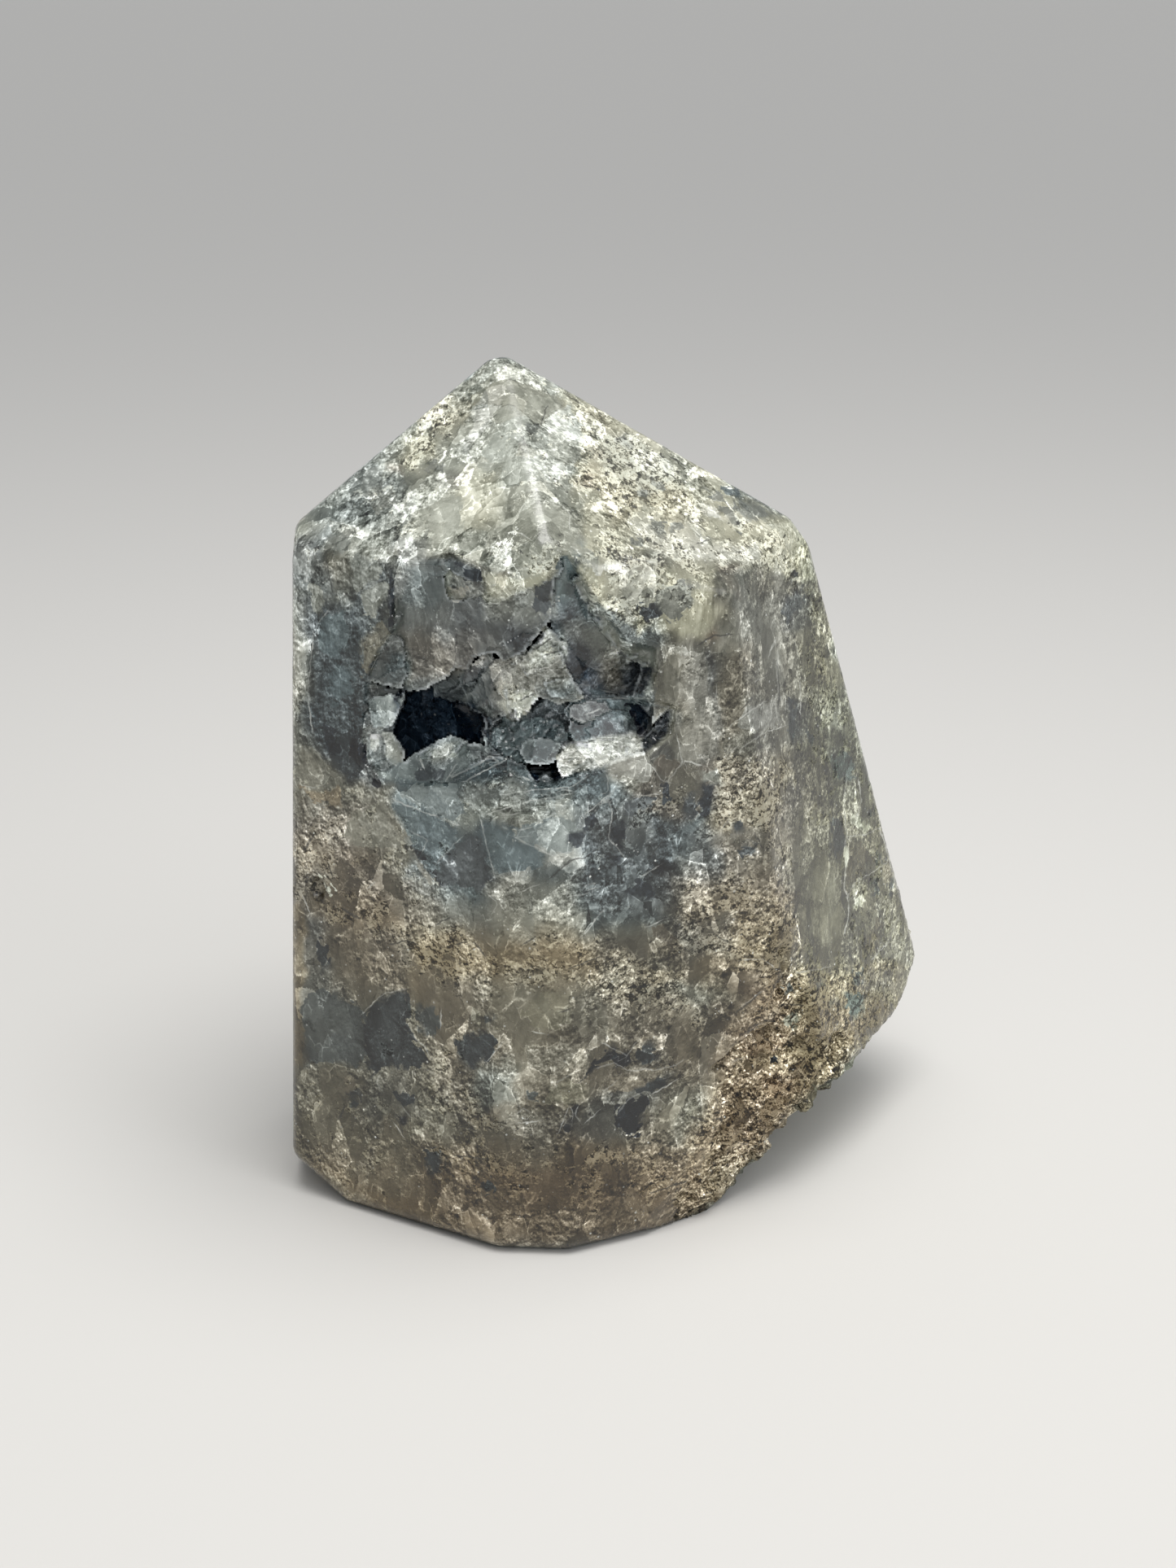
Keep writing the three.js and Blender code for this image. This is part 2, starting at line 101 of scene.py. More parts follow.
def lit_from(name, kind, place, aim, watts, colour):
    lamp = bpy.data.objects.new(name, bpy.data.lights.new(name, kind))
    lamp.data.energy = watts
    lamp.data.color = colour
    lamp.location = place
    lamp.rotation_euler = (Vector(aim) - Vector(place)).to_track_quat("-Z", "Y").to_euler()
    scene.collection.objects.link(lamp)
    return lamp.data


sky = lit_from("sky", "SUN", (0.25, -0.30, 1.0), (0, 0, 0), 1.5, (1, 1, 1))
sky.angle = SKY_SOFTNESS
overhead = lit_from("overhead lamp", "AREA", (0.06, -0.12, 0.80), (0, 0, 0.08), 5.2, (1, 0.985, 0.96))
overhead.shape, overhead.size, overhead.size_y = "RECTANGLE", 0.55, 0.45
right_fill = lit_from("right fill", "AREA", (0.75, -0.55, 0.45), (0, 0, 0.07), 1.6, (0.97, 0.98, 1))
right_fill.shape, right_fill.size = "SQUARE", 0.5

world = bpy.data.worlds.new("room")
scene.world = world
world.use_nodes = True
world.node_tree.nodes["Background"].inputs["Color"].default_value = (0.93, 0.96, 1.0, 1)
world.node_tree.nodes["Background"].inputs["Strength"].default_value = 0.4

floor_mesh = bpy.data.meshes.new("floor")
half = FLOOR_SIZE / 2
floor_mesh.from_pydata([(-half, -half, 0), (half, -half, 0), (half, half, 0), (-half, half, 0)], [], [(0, 1, 2, 3)])
floor = bpy.data.objects.new("floor", floor_mesh)
scene.collection.objects.link(floor)

floor_paint = bpy.data.materials.new("pale floor")
floor_paint.use_nodes = True
floor_paint.node_tree.nodes["Principled BSDF"].inputs["Base Color"].default_value = (0.52, 0.51, 0.49, 1)
floor_paint.node_tree.nodes["Principled BSDF"].inputs["Roughness"].default_value = 0.85
floor_mesh.materials.append(floor_paint)

scene.view_settings.view_transform = "Standard"
scene.view_settings.look = "None"

# %% [markdown]
# The solids hold the exact shape, but only in some thousand triangles. A marking or a relief needs a vertex about
# every millimetre. A voxel remesh gives an even net over the whole stone, and each vertex is then moved to the
# nearest point of the exact solid, so that the flat facets stay flat.

# %% Mesh helpers


def mesh_object(name, points, faces):
    mesh = bpy.data.meshes.new(name)
    mesh.from_pydata([tuple(p) for p in points], [], [tuple(f) for f in faces])
    made = bpy.data.objects.new(name, mesh)
    scene.collection.objects.link(made)
    return made


def merged_copy(node):
    """The solid's triangles joined to one closed net. The frame's own mesh is left alone."""
    net = bmesh.new()
    net.from_mesh(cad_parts[node].data)
    bmesh.ops.remove_doubles(net, verts=net.verts, dist=0.001 * MM)
    mesh = bpy.data.meshes.new(node + " exact")
    net.to_mesh(mesh)
    net.free()
    return mesh


def baked(piece):
    """The piece with its modifiers made real."""
    graph = bpy.context.evaluated_depsgraph_get()
    mesh = bpy.data.meshes.new_from_object(piece.evaluated_get(graph))
    piece.modifiers.clear()
    old = piece.data
    piece.data = mesh
    bpy.data.meshes.remove(old)
    return piece


def places(mesh):
    flat = np.zeros(len(mesh.vertices) * 3, np.float32)
    mesh.vertices.foreach_get("co", flat)
    return flat.reshape(-1, 3).astype(float)


def directions(mesh):
    flat = np.zeros(len(mesh.vertices) * 3, np.float32)
    mesh.vertex_normals.foreach_get("vector", flat)
    return flat.reshape(-1, 3).astype(float)


def put_places(mesh, points):
    mesh.vertices.foreach_set("co", points.astype(np.float32).ravel())
    mesh.update()


def put_mask(mesh, name, values):
    """Stores one number at each vertex, under a name that materials and Geometry Nodes can read."""
    layer = mesh.attributes.get(name) or mesh.attributes.new(name, "FLOAT", "POINT")
    layer.data.foreach_set("value", values.astype(np.float32))


def put_colour(mesh, name, colours):
    layer = mesh.attributes.get(name) or mesh.attributes.new(name, "FLOAT_COLOR", "POINT")
    rgba = np.concatenate([colours, np.ones((len(colours), 1))], 1)
    layer.data.foreach_set("color", rgba.astype(np.float32).ravel())


def ramp(values, low, high):
    """0 below low, 1 above high and a smooth step between."""
    t = np.clip((values - low) / (high - low), 0, 1)
    return t * t * (3 - 2 * t)


# %% [markdown]
# The side that the photograph shows carries every small marking, so its faces are split once more. The other sides
# keep the coarser net. Where a face meets the exact solid's edge, the nearest point rounds it a little, as polishing
# does.

# %% The stone's net
NET_SIZE = 1.46 * MM

exact_stone = merged_copy("stone")
stone = bpy.data.objects.new("stone_polished", exact_stone.copy())
scene.collection.objects.link(stone)
remesh = stone.modifiers.new("even net", "REMESH")
remesh.mode = "VOXEL"
remesh.voxel_size = NET_SIZE
baked(stone)


def laid_on(points, exact):
    """Each point moved to the nearest place on the exact surface."""
    tree = BVHTree.FromPolygons([v.co for v in exact.vertices], [p.vertices for p in exact.polygons])
    return np.array([tree.find_nearest(Vector(p))[0] for p in points])


def split_faces(mesh, wanted):
    """Splits the edges of the wanted faces in two."""
    net = bmesh.new()
    net.from_mesh(mesh)
    net.faces.ensure_lookup_table()
    edges = list({edge for face in net.faces if wanted(face) for edge in face.edges})
    bmesh.ops.subdivide_edges(net, edges=edges, cuts=1, use_grid_fill=True)
    net.to_mesh(mesh)
    net.free()


def towards_camera(face):
    return face.normal.dot(Vector(CAMERA_PLACE) - face.calc_center_median()) > -0.02


put_places(stone.data, laid_on(places(stone.data), exact_stone))
split_faces(stone.data, towards_camera)
put_places(stone.data, laid_on(places(stone.data), exact_stone))
print("stone net:", len(stone.data.vertices), "vertices,", len(stone.data.polygons), "faces")

# %% [markdown]
# The polished facets are the large flat parts of the exact solid. Their planes are measured from it, and a vertex
# that lies deeper than all of them belongs to the broken side or to the pocket's rim.

# %% Facets and depth
LEAST_FACET = 250 * MM * MM
SAME_PLANE = 0.02 * MM


def large_planes(exact):
    found = []
    for polygon in exact.polygons:
        distance = polygon.normal.dot(polygon.center)
        for plane in found:
            if plane["normal"].dot(polygon.normal) > 0.99999 and abs(plane["distance"] - distance) < SAME_PLANE:
                plane["area"] += polygon.area
                break
        else:
            found.append({"normal": polygon.normal.copy(), "distance": distance, "area": polygon.area})
    return [plane for plane in found if plane["area"] > LEAST_FACET]


facets = [p for p in large_planes(exact_stone)]
outermost = places(exact_stone)
facets = [p for p in facets if (outermost @ np.array(p["normal"])).max() < p["distance"] + SAME_PLANE]
print("polished facets:", len(facets), "areas cm2:", [round(p["area"] * 1e4, 1) for p in facets])


def depth_below(points):
    """How deep each point lies under the polished surface."""
    normals = np.array([p["normal"] for p in facets])
    distances = np.array([p["distance"] for p in facets])
    return -(points @ normals.T - distances).max(1)


# %% [markdown]
# The colours are named once, as they are read off the photograph. What the eye reads is paint times light, and the
# top facets get almost twice the light of the front. So a colour is divided by the light that its place gets, which
# depends on the tilt of the surface there. The polish adds a little light of its own, which is taken off first.

# %% Palette
SEEN = {
    "white": (240, 242, 232), "chalk": (214, 217, 204), "cream": (212, 212, 192), "straw": (195, 190, 166),
    "pale grey": (187, 190, 177), "mid grey": (152, 155, 146), "milk": (156, 156, 146), "ice": (136, 145, 143),
    "green grey": (128, 127, 115), "stone": (117, 113, 103), "olive": (102, 98, 87), "tan": (139, 130, 111),
    "rust": (138, 118, 99), "brown": (93, 84, 71), "teal": (103, 114, 115), "slate": (85, 90, 91), "mist": (112, 116, 113),
    "dark slate": (64, 68, 71), "blue black": (34, 42, 51),
}
FRONT_LIGHT, TOP_LIGHT, SIDE_LIGHT = 0.98, 0.88, 0.28


def linear(seen):
    part = np.array(seen, float) / 255
    return np.where(part <= 0.04045, part / 12.92, ((part + 0.055) / 1.055) ** 2.4)


def light_on(normals):
    """How much light a surface gets in this studio, by its tilt. A front face gets about 1."""
    return FRONT_LIGHT + TOP_LIGHT * np.clip(normals[:, 2], 0, 1) + SIDE_LIGHT * normals[:, 0]


SHEEN = 0.03
PAINT = {name: linear(seen) for name, seen in SEEN.items()}


def without_light(seen, light, share):
    """The paint that shows as the seen colour under this light, once the sheen of the polish is taken off."""
    # Where share is below 1 the paint comes out lighter: a painted light in places that lie in shade.
    return np.clip(np.maximum(seen - SHEEN * share, 0.3 * seen) / light, 0.004, 0.9)


# %% [markdown]
# A marking is an outline of a few corners, in pixels of the photograph. Each vertex that faces the camera is
# projected to the photograph, and its distance to the outline is stored, positive inside. The distance changes evenly
# over the net, so the material can cut a sharp edge out of it even between two vertices. Soft patches are blended
# straight into the ground colour.

# %% Reading outlines


def inside_by(spots, outline):
    """Distance from each spot to the outline in pixels, positive inside and negative outside."""
    corners = np.array(outline, float)
    nearest = np.full(len(spots), 1e9)
    inside = np.zeros(len(spots), bool)
    for a, b in zip(corners, np.roll(corners, -1, 0)):
        span = b - a
        part = np.clip(((spots - a) @ span) / (span @ span), 0, 1)
        nearest = np.minimum(nearest, np.linalg.norm(spots - a - part[:, None] * span, axis=1))
        if a[1] != b[1]:
            crosses = (a[1] > spots[:, 1]) != (b[1] > spots[:, 1])
            inside ^= crosses & (spots[:, 0] < a[0] + (spots[:, 1] - a[1]) * span[0] / (b[1] - a[1]))
    return np.where(inside, nearest, -nearest)


def near_box(spots, outline, margin):
    low, high = np.min(outline, 0) - margin, np.max(outline, 0) + margin
    return np.nonzero(((spots > low) & (spots < high)).all(1))[0]


def wandered(spots):
    """The spots moved about by noise, so that a patch painted on them gets an uneven border."""
    moved = np.empty_like(spots)
    for i, (x, y) in enumerate(spots):
        coarse = noise.noise_vector(Vector((x / 48, y / 48, 6.2)))
        fine = noise.noise_vector(Vector((x / 15, y / 15, 2.9)))
        moved[i] = x + 17 * coarse.x + 7 * fine.x, y + 17 * coarse.y + 7 * fine.y
    return moved


def soft_patches(ground, spots, weight, patches):
    """Blends each patch into the ground colour, in order: (colour, feather, strength, outline)."""
    for colour, feather, strength, outline in patches:
        here = near_box(spots, outline, feather)
        amount = ramp(inside_by(spots[here], outline), -feather, feather) * strength * weight[here]
        ground[here] += (PAINT[colour] - ground[here]) * amount[:, None]


def soft_mask(mask, spots, weight, patches):
    """Raises or lowers one mask: (value, feather, outline)."""
    for value, feather, outline in patches:
        here = near_box(spots, outline, feather)
        amount = ramp(inside_by(spots[here], outline), -feather, feather) * weight[here]
        mask[here] += (value - mask[here]) * amount


FAR = -60.0


def cut_marks(spots, weight, marks):
    """The nearest mark at each spot: how far inside it the spot is, its colour and how calm it is inside."""
    edge = np.full(len(spots), FAR)
    colour = np.zeros((len(spots), 3))
    calm = np.zeros(len(spots))
    for name, calmness, outline in marks:
        here = near_box(spots, outline, 30)
        depth = np.where(weight[here] > 0.3, inside_by(spots[here], outline), FAR)
        wins = depth > edge[here]
        won = here[wins]
        edge[won], colour[won], calm[won] = depth[wins], PAINT[name], calmness
    return edge, colour, calm


LINE_REACH, LINE_FADE = 7.0, 3.0


def drawn_lines(spots, weight, lines):
    """For the nearest line at each spot: how far to its side the spot lies, and how wide the line is there."""
    best = np.full(len(spots), 1e9)
    side = np.full(len(spots), LINE_REACH * 2)
    width = np.zeros(len(spots))
    for wide, corners in lines:
        corners = np.array(corners, float)
        here = near_box(spots, corners, LINE_REACH + LINE_FADE)
        for a, b in zip(corners[:-1], corners[1:]):
            span = b - a
            length = np.linalg.norm(span)
            away = spots[here] - a
            along = away @ span / length
            past = np.maximum(np.maximum(-along, along - length), 0)
            across = (away[:, 0] * span[1] - away[:, 1] * span[0]) / length
            gap = np.hypot(across, past)
            wins = (gap < best[here]) & (weight[here] > 0.3)
            won = here[wins]
            best[won], side[won] = gap[wins], across[wins]
            faded = ramp(-gap[wins], -LINE_REACH - LINE_FADE, -LINE_REACH) * ramp(-past[wins], -LINE_FADE, 0)
            width[won] = wide * faded
    return side, width


PIXEL = 0.178 * MM
print("colours:", len(PAINT), "one photograph pixel on the stone, mm:", PIXEL / MM)

# %% [markdown]
# First come the broad zones of the stone, as soft patches. The top is pale cream with sandy bands. The upper left is
# slate blue, the middle icy where the crystal is clear, and a band of brown sandy matrix crosses the lower half.

# %% Broad zones
WHOLE = [(330, 420), (1140, 420), (1140, 1560), (330, 1560)]
BODY_ZONES = [
    # top left facet
    ("pale grey", 6, 1, [(345, 655), (600, 430), (640, 438), (690, 470), (720, 640), (690, 700), (620, 715), (560, 690), (490, 668), (430, 665), (370, 672)]),
    ("cream", 12, .8, [(560, 575), (605, 580), (612, 640), (570, 650), (552, 610)]),
    ("chalk", 10, .7, [(625, 560), (700, 590), (705, 640), (650, 650), (615, 610)]),
    ("straw", 8, .45, [(510, 520), (530, 500), (560, 490), (590, 487), (583, 515), (530, 530)]),
    ("cream", 8, .8, [(505, 535), (535, 535), (535, 550), (515, 580), (498, 560)]),
    ("rust", 6, .45, [(485, 566), (500, 566), (500, 580), (485, 580)]),
    ("mid grey", 8, .8, [(430, 580), (480, 572), (482, 600), (478, 630), (450, 632), (425, 628)]),
    ("mid grey", 7, .7, [(473, 550), (497, 550), (497, 560), (473, 560)]),
    ("milk", 9, .7, [(536, 582), (562, 585), (560, 610), (538, 610)]),
    ("mid grey", 12, .55, [(600, 665), (680, 660), (690, 715), (610, 722)]),
    ("mid grey", 10, .6, [(370, 640), (440, 600), (450, 660), (380, 672)]),
    # Partly the pale frost of the lip above the pocket and partly a painted highlight along it.
    ("white", 6, .6, [(556, 676), (580, 686), (600, 694), (600, 700), (575, 694), (556, 684)]),
    # top right facet
    ("cream", 6, 1, [(690, 466), (745, 496), (805, 528), (880, 585), (985, 650), (1004, 705), (960, 705), (900, 712), (860, 700), (820, 745), (790, 770), (740, 740), (705, 715), (712, 660), (705, 600)]),
    ("white", 14, .5, [(780, 640), (860, 640), (900, 690), (850, 700), (800, 690)]),
    ("straw", 9, .55, [(715, 510), (745, 510), (760, 530), (755, 545), (775, 560), (800, 585), (850, 610), (855, 635), (830, 640), (800, 625), (760, 655), (745, 620), (720, 590), (705, 595), (715, 575), (740, 555), (735, 520)]),
    ("rust", 6, .4, [(708, 578), (726, 580), (726, 596), (710, 596)]),
    ("rust", 6, .35, [(733, 543), (747, 543), (747, 557), (735, 557)]),
    ("mid grey", 10, .45, [(740, 680), (800, 672), (850, 690), (830, 720), (780, 760), (740, 730)]),
    ("olive", 7, .5, [(752, 680), (772, 678), (800, 690), (824, 690), (820, 702), (780, 700), (760, 695)]),
    ("white", 8, .6, [(850, 655), (930, 670), (925, 700), (880, 700), (845, 690)]),
    ("straw", 8, .5, [(838, 690), (870, 700), (865, 760), (845, 765), (835, 720)]),
    # upper left
    ("green grey", 8, 1, [(345, 672), (440, 660), (560, 690), (690, 705), (700, 830), (640, 870), (470, 900), (440, 980), (345, 980)]),
    ("mist", 8, .8, [(355, 662), (402, 660), (400, 725), (375, 728), (355, 720)]),
    ("slate", 14, 1, [(385, 735), (442, 735), (472, 840), (455, 905), (455, 965), (425, 960), (380, 915), (372, 850)]),
    ("slate", 12, .8, [(440, 690), (478, 690), (482, 850), (440, 850)]),
    ("teal", 12, .8, [(486, 688), (540, 694), (596, 720), (600, 790), (560, 815), (498, 840), (484, 780)]),
    ("ice", 9, .5, [(492, 700), (545, 700), (540, 730), (500, 740)]),
    ("slate", 11, .6, [(556, 690), (600, 700), (610, 790), (575, 792), (560, 740)]),
    ("tan", 9, .3, [(500, 790), (578, 775), (578, 820), (520, 840), (486, 840)]),
    ("chalk", 4, .5, [(358, 748), (378, 750), (377, 802), (358, 805)]),
    # left middle
    ("green grey", 10, 1, [(345, 925), (430, 960), (480, 960), (505, 1040), (490, 1090), (345, 1090)]),
    ("stone", 12, 1, [(345, 1000), (425, 1000), (430, 1045), (480, 1075), (500, 1150), (345, 1200)]),
    ("olive", 8, .8, [(366, 970), (384, 972), (384, 1012), (366, 1016)]),
    ("olive", 10, .6, [(398, 990), (428, 995), (425, 1020), (400, 1022)]),
    ("olive", 9, .8, [(418, 1038), (450, 1042), (480, 1048), (478, 1066), (445, 1074), (422, 1064)]),
    ("tan", 10, .5, [(360, 1020), (400, 1022), (410, 1060), (420, 1085), (385, 1062), (362, 1090)]),
    ("tan", 12, .45, [(405, 1080), (470, 1110), (500, 1150), (430, 1140), (380, 1120)]),
    ("olive", 12, .6, [(470, 1080), (512, 1085), (515, 1120), (480, 1120)]),
    # centre
    ("teal", 14, 1, [(470, 955), (640, 940), (780, 930), (860, 935), (880, 1000), (830, 1060), (830, 1130), (720, 1150), (620, 1110), (540, 1100), (500, 1040)]),
    ("ice", 12, .8, [(560, 975), (640, 965), (720, 1000), (712, 1045), (640, 1035), (600, 1010)]),
    ("pale grey", 9, .5, [(634, 1010), (700, 1000), (712, 1030), (690, 1050), (640, 1032)]),
    ("green grey", 10, .9, [(742, 925), (800, 918), (812, 958), (800, 978), (765, 978), (745, 950)]),
    ("stone", 10, .9, [(800, 930), (880, 930), (885, 965), (850, 1010), (790, 1010), (770, 985)]),
    ("slate", 14, .75, [(715, 1000), (770, 1000), (835, 1010), (830, 1070), (815, 1130), (740, 1135), (700, 1075)]),
    ("slate", 14, .6, [(835, 1020), (925, 1030), (915, 1080), (860, 1075)]),
    # Partly milky crystal and partly a painted reflection: a soft upright band of light on the polish.
    ("milk", 16, .95, [(600, 1080), (640, 1072), (655, 1100), (648, 1160), (610, 1160), (598, 1120)]),
    ("green grey", 14, .6, [(650, 1085), (700, 1075), (715, 1110), (740, 1150), (670, 1160)]),
    # the sandy band across
    ("tan", 22, .85, [(478, 1130), (560, 1150), (640, 1150), (700, 1165), (800, 1165), (830, 1200), (760, 1235), (650, 1215), (560, 1200), (480, 1180)]),
    ("stone", 16, .7, [(810, 1075), (960, 1060), (1000, 1160), (960, 1240), (830, 1200)]),
    ("tan", 16, .55, [(850, 1085), (960, 1090), (985, 1160), (900, 1180), (840, 1130)]),
    # the right face
    ("green grey", 10, 1, [(845, 700), (1000, 705), (1075, 960), (1125, 1180), (1000, 1230), (960, 1060), (885, 930), (830, 925), (800, 830)]),
    ("tan", 12, .4, [(840, 760), (900, 770), (930, 850), (880, 930), (830, 880)]),
    ("rust", 7, .5, [(888, 700), (908, 700), (912, 735), (896, 735)]),
    ("rust", 8, .4, [(845, 765), (890, 772), (895, 785), (865, 792), (850, 800)]),
    ("slate", 12, .6, [(852, 800), (885, 790), (884, 930), (860, 935), (845, 870)]),
    ("mid grey", 12, .5, [(925, 740), (960, 720), (955, 830), (930, 830)]),
    ("slate", 9, .7, [(958, 735), (992, 722), (990, 760), (962, 780)]),
    ("olive", 10, .5, [(985, 760), (1012, 790), (1020, 850), (1000, 850)]),
    ("straw", 11, .55, [(892, 935), (960, 930), (958, 1000), (925, 1022), (885, 1015)]),
    ("slate", 9, .6, [(962, 860), (985, 862), (985, 915), (968, 915)]),
    ("mid grey", 9, .6, [(1000, 862), (1035, 870), (1035, 900), (1002, 902)]),
    ("stone", 10, .5, [(965, 930), (1030, 930), (1030, 1010), (970, 1040)]),
    ("teal", 9, .5, [(1022, 928), (1044, 926), (1054, 965), (1026, 968)]),
    ("milk", 10, .5, [(1058, 900), (1072, 960), (1076, 1010), (1062, 1000)]),
    ("milk", 10, .5, [(1085, 1140), (1125, 1150), (1122, 1200), (1088, 1200)]),
    # low left
    ("slate", 16, .8, [(345, 1120), (395, 1135), (420, 1210), (450, 1240), (450, 1310), (345, 1310)]),
    ("stone", 14, .6, [(398, 1150), (500, 1160), (500, 1215), (440, 1235), (402, 1215)]),
    ("tan", 5, .8, [(345, 1110), (369, 1110), (371, 1290), (378, 1312), (360, 1320), (345, 1300)]),
    ("olive", 16, .7, [(345, 1310), (450, 1312), (480, 1400), (420, 1450), (345, 1430)]),
    ("slate", 16, .7, [(455, 1315), (520, 1312), (512, 1375), (450, 1370)]),
    ("stone", 12, .6, [(500, 1180), (560, 1200), (600, 1260), (560, 1270), (530, 1230)]),
    # low centre
    ("stone", 22, .9, [(520, 1215), (820, 1215), (860, 1330), (700, 1420), (560, 1400), (525, 1310)]),
    # Partly milky crystal and partly a painted reflection: the lower part of the upright band of light on the polish.
    ("milk", 14, .45, [(622, 1262), (664, 1266), (660, 1290), (640, 1335), (620, 1340), (625, 1300)]),
    ("milk", 14, .35, [(660, 1285), (720, 1290), (715, 1320), (665, 1320)]),
    ("teal", 12, .6, [(586, 1308), (638, 1308), (636, 1356), (588, 1356)]),
    ("mist", 14, .4, [(610, 1360), (700, 1385), (660, 1420), (600, 1400)]),
    ("slate", 12, .7, [(716, 1352), (800, 1335), (795, 1400), (700, 1410), (690, 1390)]),
    ("slate", 12, .5, [(742, 1322), (820, 1312), (800, 1345), (750, 1350)]),
    ("slate", 14, .5, [(795, 1262), (835, 1262), (825, 1320), (790, 1310)]),
    ("stone", 16, .8, [(820, 1230), (905, 1230), (900, 1330), (840, 1345)]),
    # bottom
    ("olive", 16, .8, [(500, 1410), (840, 1405), (900, 1470), (800, 1545), (560, 1510)]),
    ("brown", 12, .45, [(560, 1440), (660, 1430), (820, 1440), (830, 1480), (640, 1490)]),
    ("tan", 12, .4, [(690, 1412), (820, 1408), (890, 1400), (900, 1450), (850, 1470), (700, 1440)]),
    ("tan", 6, .5, [(380, 1430), (470, 1462), (560, 1490), (640, 1525), (560, 1510), (440, 1475)]),
    # the broken side
    ("tan", 14, .75, [(905, 1235), (960, 1190), (1110, 1185), (1080, 1270), (960, 1370), (900, 1480), (840, 1470), (850, 1380)]),
    ("straw", 12, .45, [(960, 1180), (1060, 1180), (1075, 1230), (980, 1240)]),
    ("straw", 10, .5, [(895, 1285), (960, 1280), (1010, 1300), (950, 1322), (900, 1320)]),
    ("rust", 8, .5, [(905, 1275), (965, 1278), (962, 1292), (910, 1292)]),
    ("rust", 10, .45, [(930, 1318), (990, 1325), (985, 1345), (935, 1340)]),
    ("mid grey", 10, .7, [(1065, 1195), (1100, 1195), (1090, 1235), (1065, 1235)]),
    # corrections over the first layer: frosted spots round the mouth, cooler upper right, warmer foot
    ("chalk", 8, .7, [(520, 664), (612, 664), (612, 698), (560, 690)]),
    ("chalk", 8, .6, [(630, 668), (692, 664), (694, 706), (640, 704)]),
    ("cream", 12, 1, [(815, 700), (885, 700), (868, 790), (832, 800), (812, 760)]),
    ("mid grey", 12, .6, [(740, 700), (800, 690), (810, 740), (770, 760)]),
    ("pale grey", 14, .75, [(735, 520), (830, 560), (865, 592), (800, 602), (745, 575)]),
    ("mid grey", 12, .5, [(450, 590), (500, 585), (500, 650), (455, 650)]),
    ("stone", 14, .6, [(410, 1140), (475, 1140), (480, 1200), (415, 1200)]),
    ("pale grey", 12, .6, [(530, 988), (640, 985), (700, 985), (645, 1018), (560, 1015)]),
    ("slate", 9, .6, [(850, 810), (884, 800), (884, 930), (858, 935)]),
    ("stone", 16, .6, [(385, 985), (460, 985), (470, 1040), (400, 1045)]),
    # Partly milky crystal and partly a painted reflection: the upper part of the upright band of light on the polish.
    ("milk", 16, .55, [(600, 1005), (690, 1005), (700, 1065), (610, 1075)]),
    ("mist", 14, .6, [(725, 985), (800, 985), (800, 1045), (730, 1045)]),
    ("mid grey", 12, .5, [(505, 700), (575, 705), (575, 750), (515, 755)]),
    ("olive", 14, .6, [(765, 1360), (840, 1360), (830, 1415), (770, 1415)]),
    ("olive", 18, .6, [(520, 1395), (600, 1395), (600, 1450), (525, 1450)]),
    ("teal", 26, .35, [(362, 705), (480, 705), (475, 930), (368, 925)]),
    ("tan", 14, .5, [(885, 935), (962, 930), (975, 1190), (850, 1190), (880, 1080)]),
    ("rust", 45, .3, [(400, 1430), (900, 1400), (850, 1580), (420, 1580)]),
    ("ice", 22, .5, [(380, 612), (470, 556), (505, 590), (480, 655), (395, 668)]),
    ("green grey", 12, .7, [(820, 935), (862, 935), (862, 985), (822, 985)]),
    ("mist", 9, .5, [(848, 860), (880, 860), (880, 905), (850, 905)]),
    ("mist", 10, .75, [(478, 650), (522, 650), (525, 700), (480, 700)]),
    ("mid grey", 10, .6, [(560, 955), (650, 955), (650, 992), (565, 992)]),
    ("brown", 14, .4, [(490, 1075), (545, 1075), (545, 1130), (495, 1130)]),
    ("slate", 14, .5, [(455, 1140), (510, 1140), (510, 1190), (460, 1190)]),
    ("slate", 12, .5, [(830, 1125), (895, 1125), (895, 1180), (835, 1180)]),
    ("stone", 12, .6, [(890, 930), (945, 930), (945, 975), (895, 975)]),
    ("mid grey", 16, .5, [(1015, 860), (1050, 860), (1062, 980), (1020, 980)]),
    ("chalk", 10, .6, [(615, 670), (670, 670), (670, 725), (620, 725)]),
    ("mid grey", 12, .6, [(885, 705), (925, 705), (925, 790), (890, 800)]),
    ("brown", 14, .4, [(405, 1040), (455, 1040), (455, 1085), (410, 1085)]),
    ("mid grey", 16, .5, [(620, 1085), (690, 1085), (690, 1140), (625, 1140)]),
    ("slate", 9, .5, [(365, 730), (405, 735), (405, 800), (368, 800)]),
    ("olive", 16, .45, [(985, 1000), (1050, 1010), (1075, 1210), (990, 1210)]),
    ("brown", 18, .45, [(410, 1085), (485, 1095), (485, 1205), (415, 1205)]),
    ("slate", 18, .5, [(735, 1145), (805, 1145), (805, 1215), (735, 1215)]),
    ("milk", 20, .5, [(575, 1200), (765, 1200), (745, 1262), (600, 1262)]),
    ("chalk", 9, .7, [(415, 640), (480, 650), (478, 694), (430, 692)]),
    ("brown", 16, .3, [(780, 1260), (930, 1255), (920, 1320), (790, 1320)]),
    ("green grey", 16, .75, [(985, 1000), (1050, 1010), (1075, 1150), (990, 1150)]),
    ("milk", 10, .75, [(808, 800), (872, 790), (882, 930), (836, 930), (830, 860)]),
    ("brown", 45, .28, [(400, 1420), (900, 1400), (850, 1580), (420, 1580)]),
    ("rust", 34, .45, [(900, 1200), (1090, 1200), (1060, 1310), (940, 1430), (870, 1400)]),
    ("stone", 34, .35, [(360, 1150), (560, 1180), (560, 1420), (380, 1420)]),
]

# %% [markdown]
# On top of the zones come the cut marks: crystals sliced by the polishing, which show as crisp windows. A clear one
# looks dark and calm, because light goes into it and does not come back. A fibrous one is white.

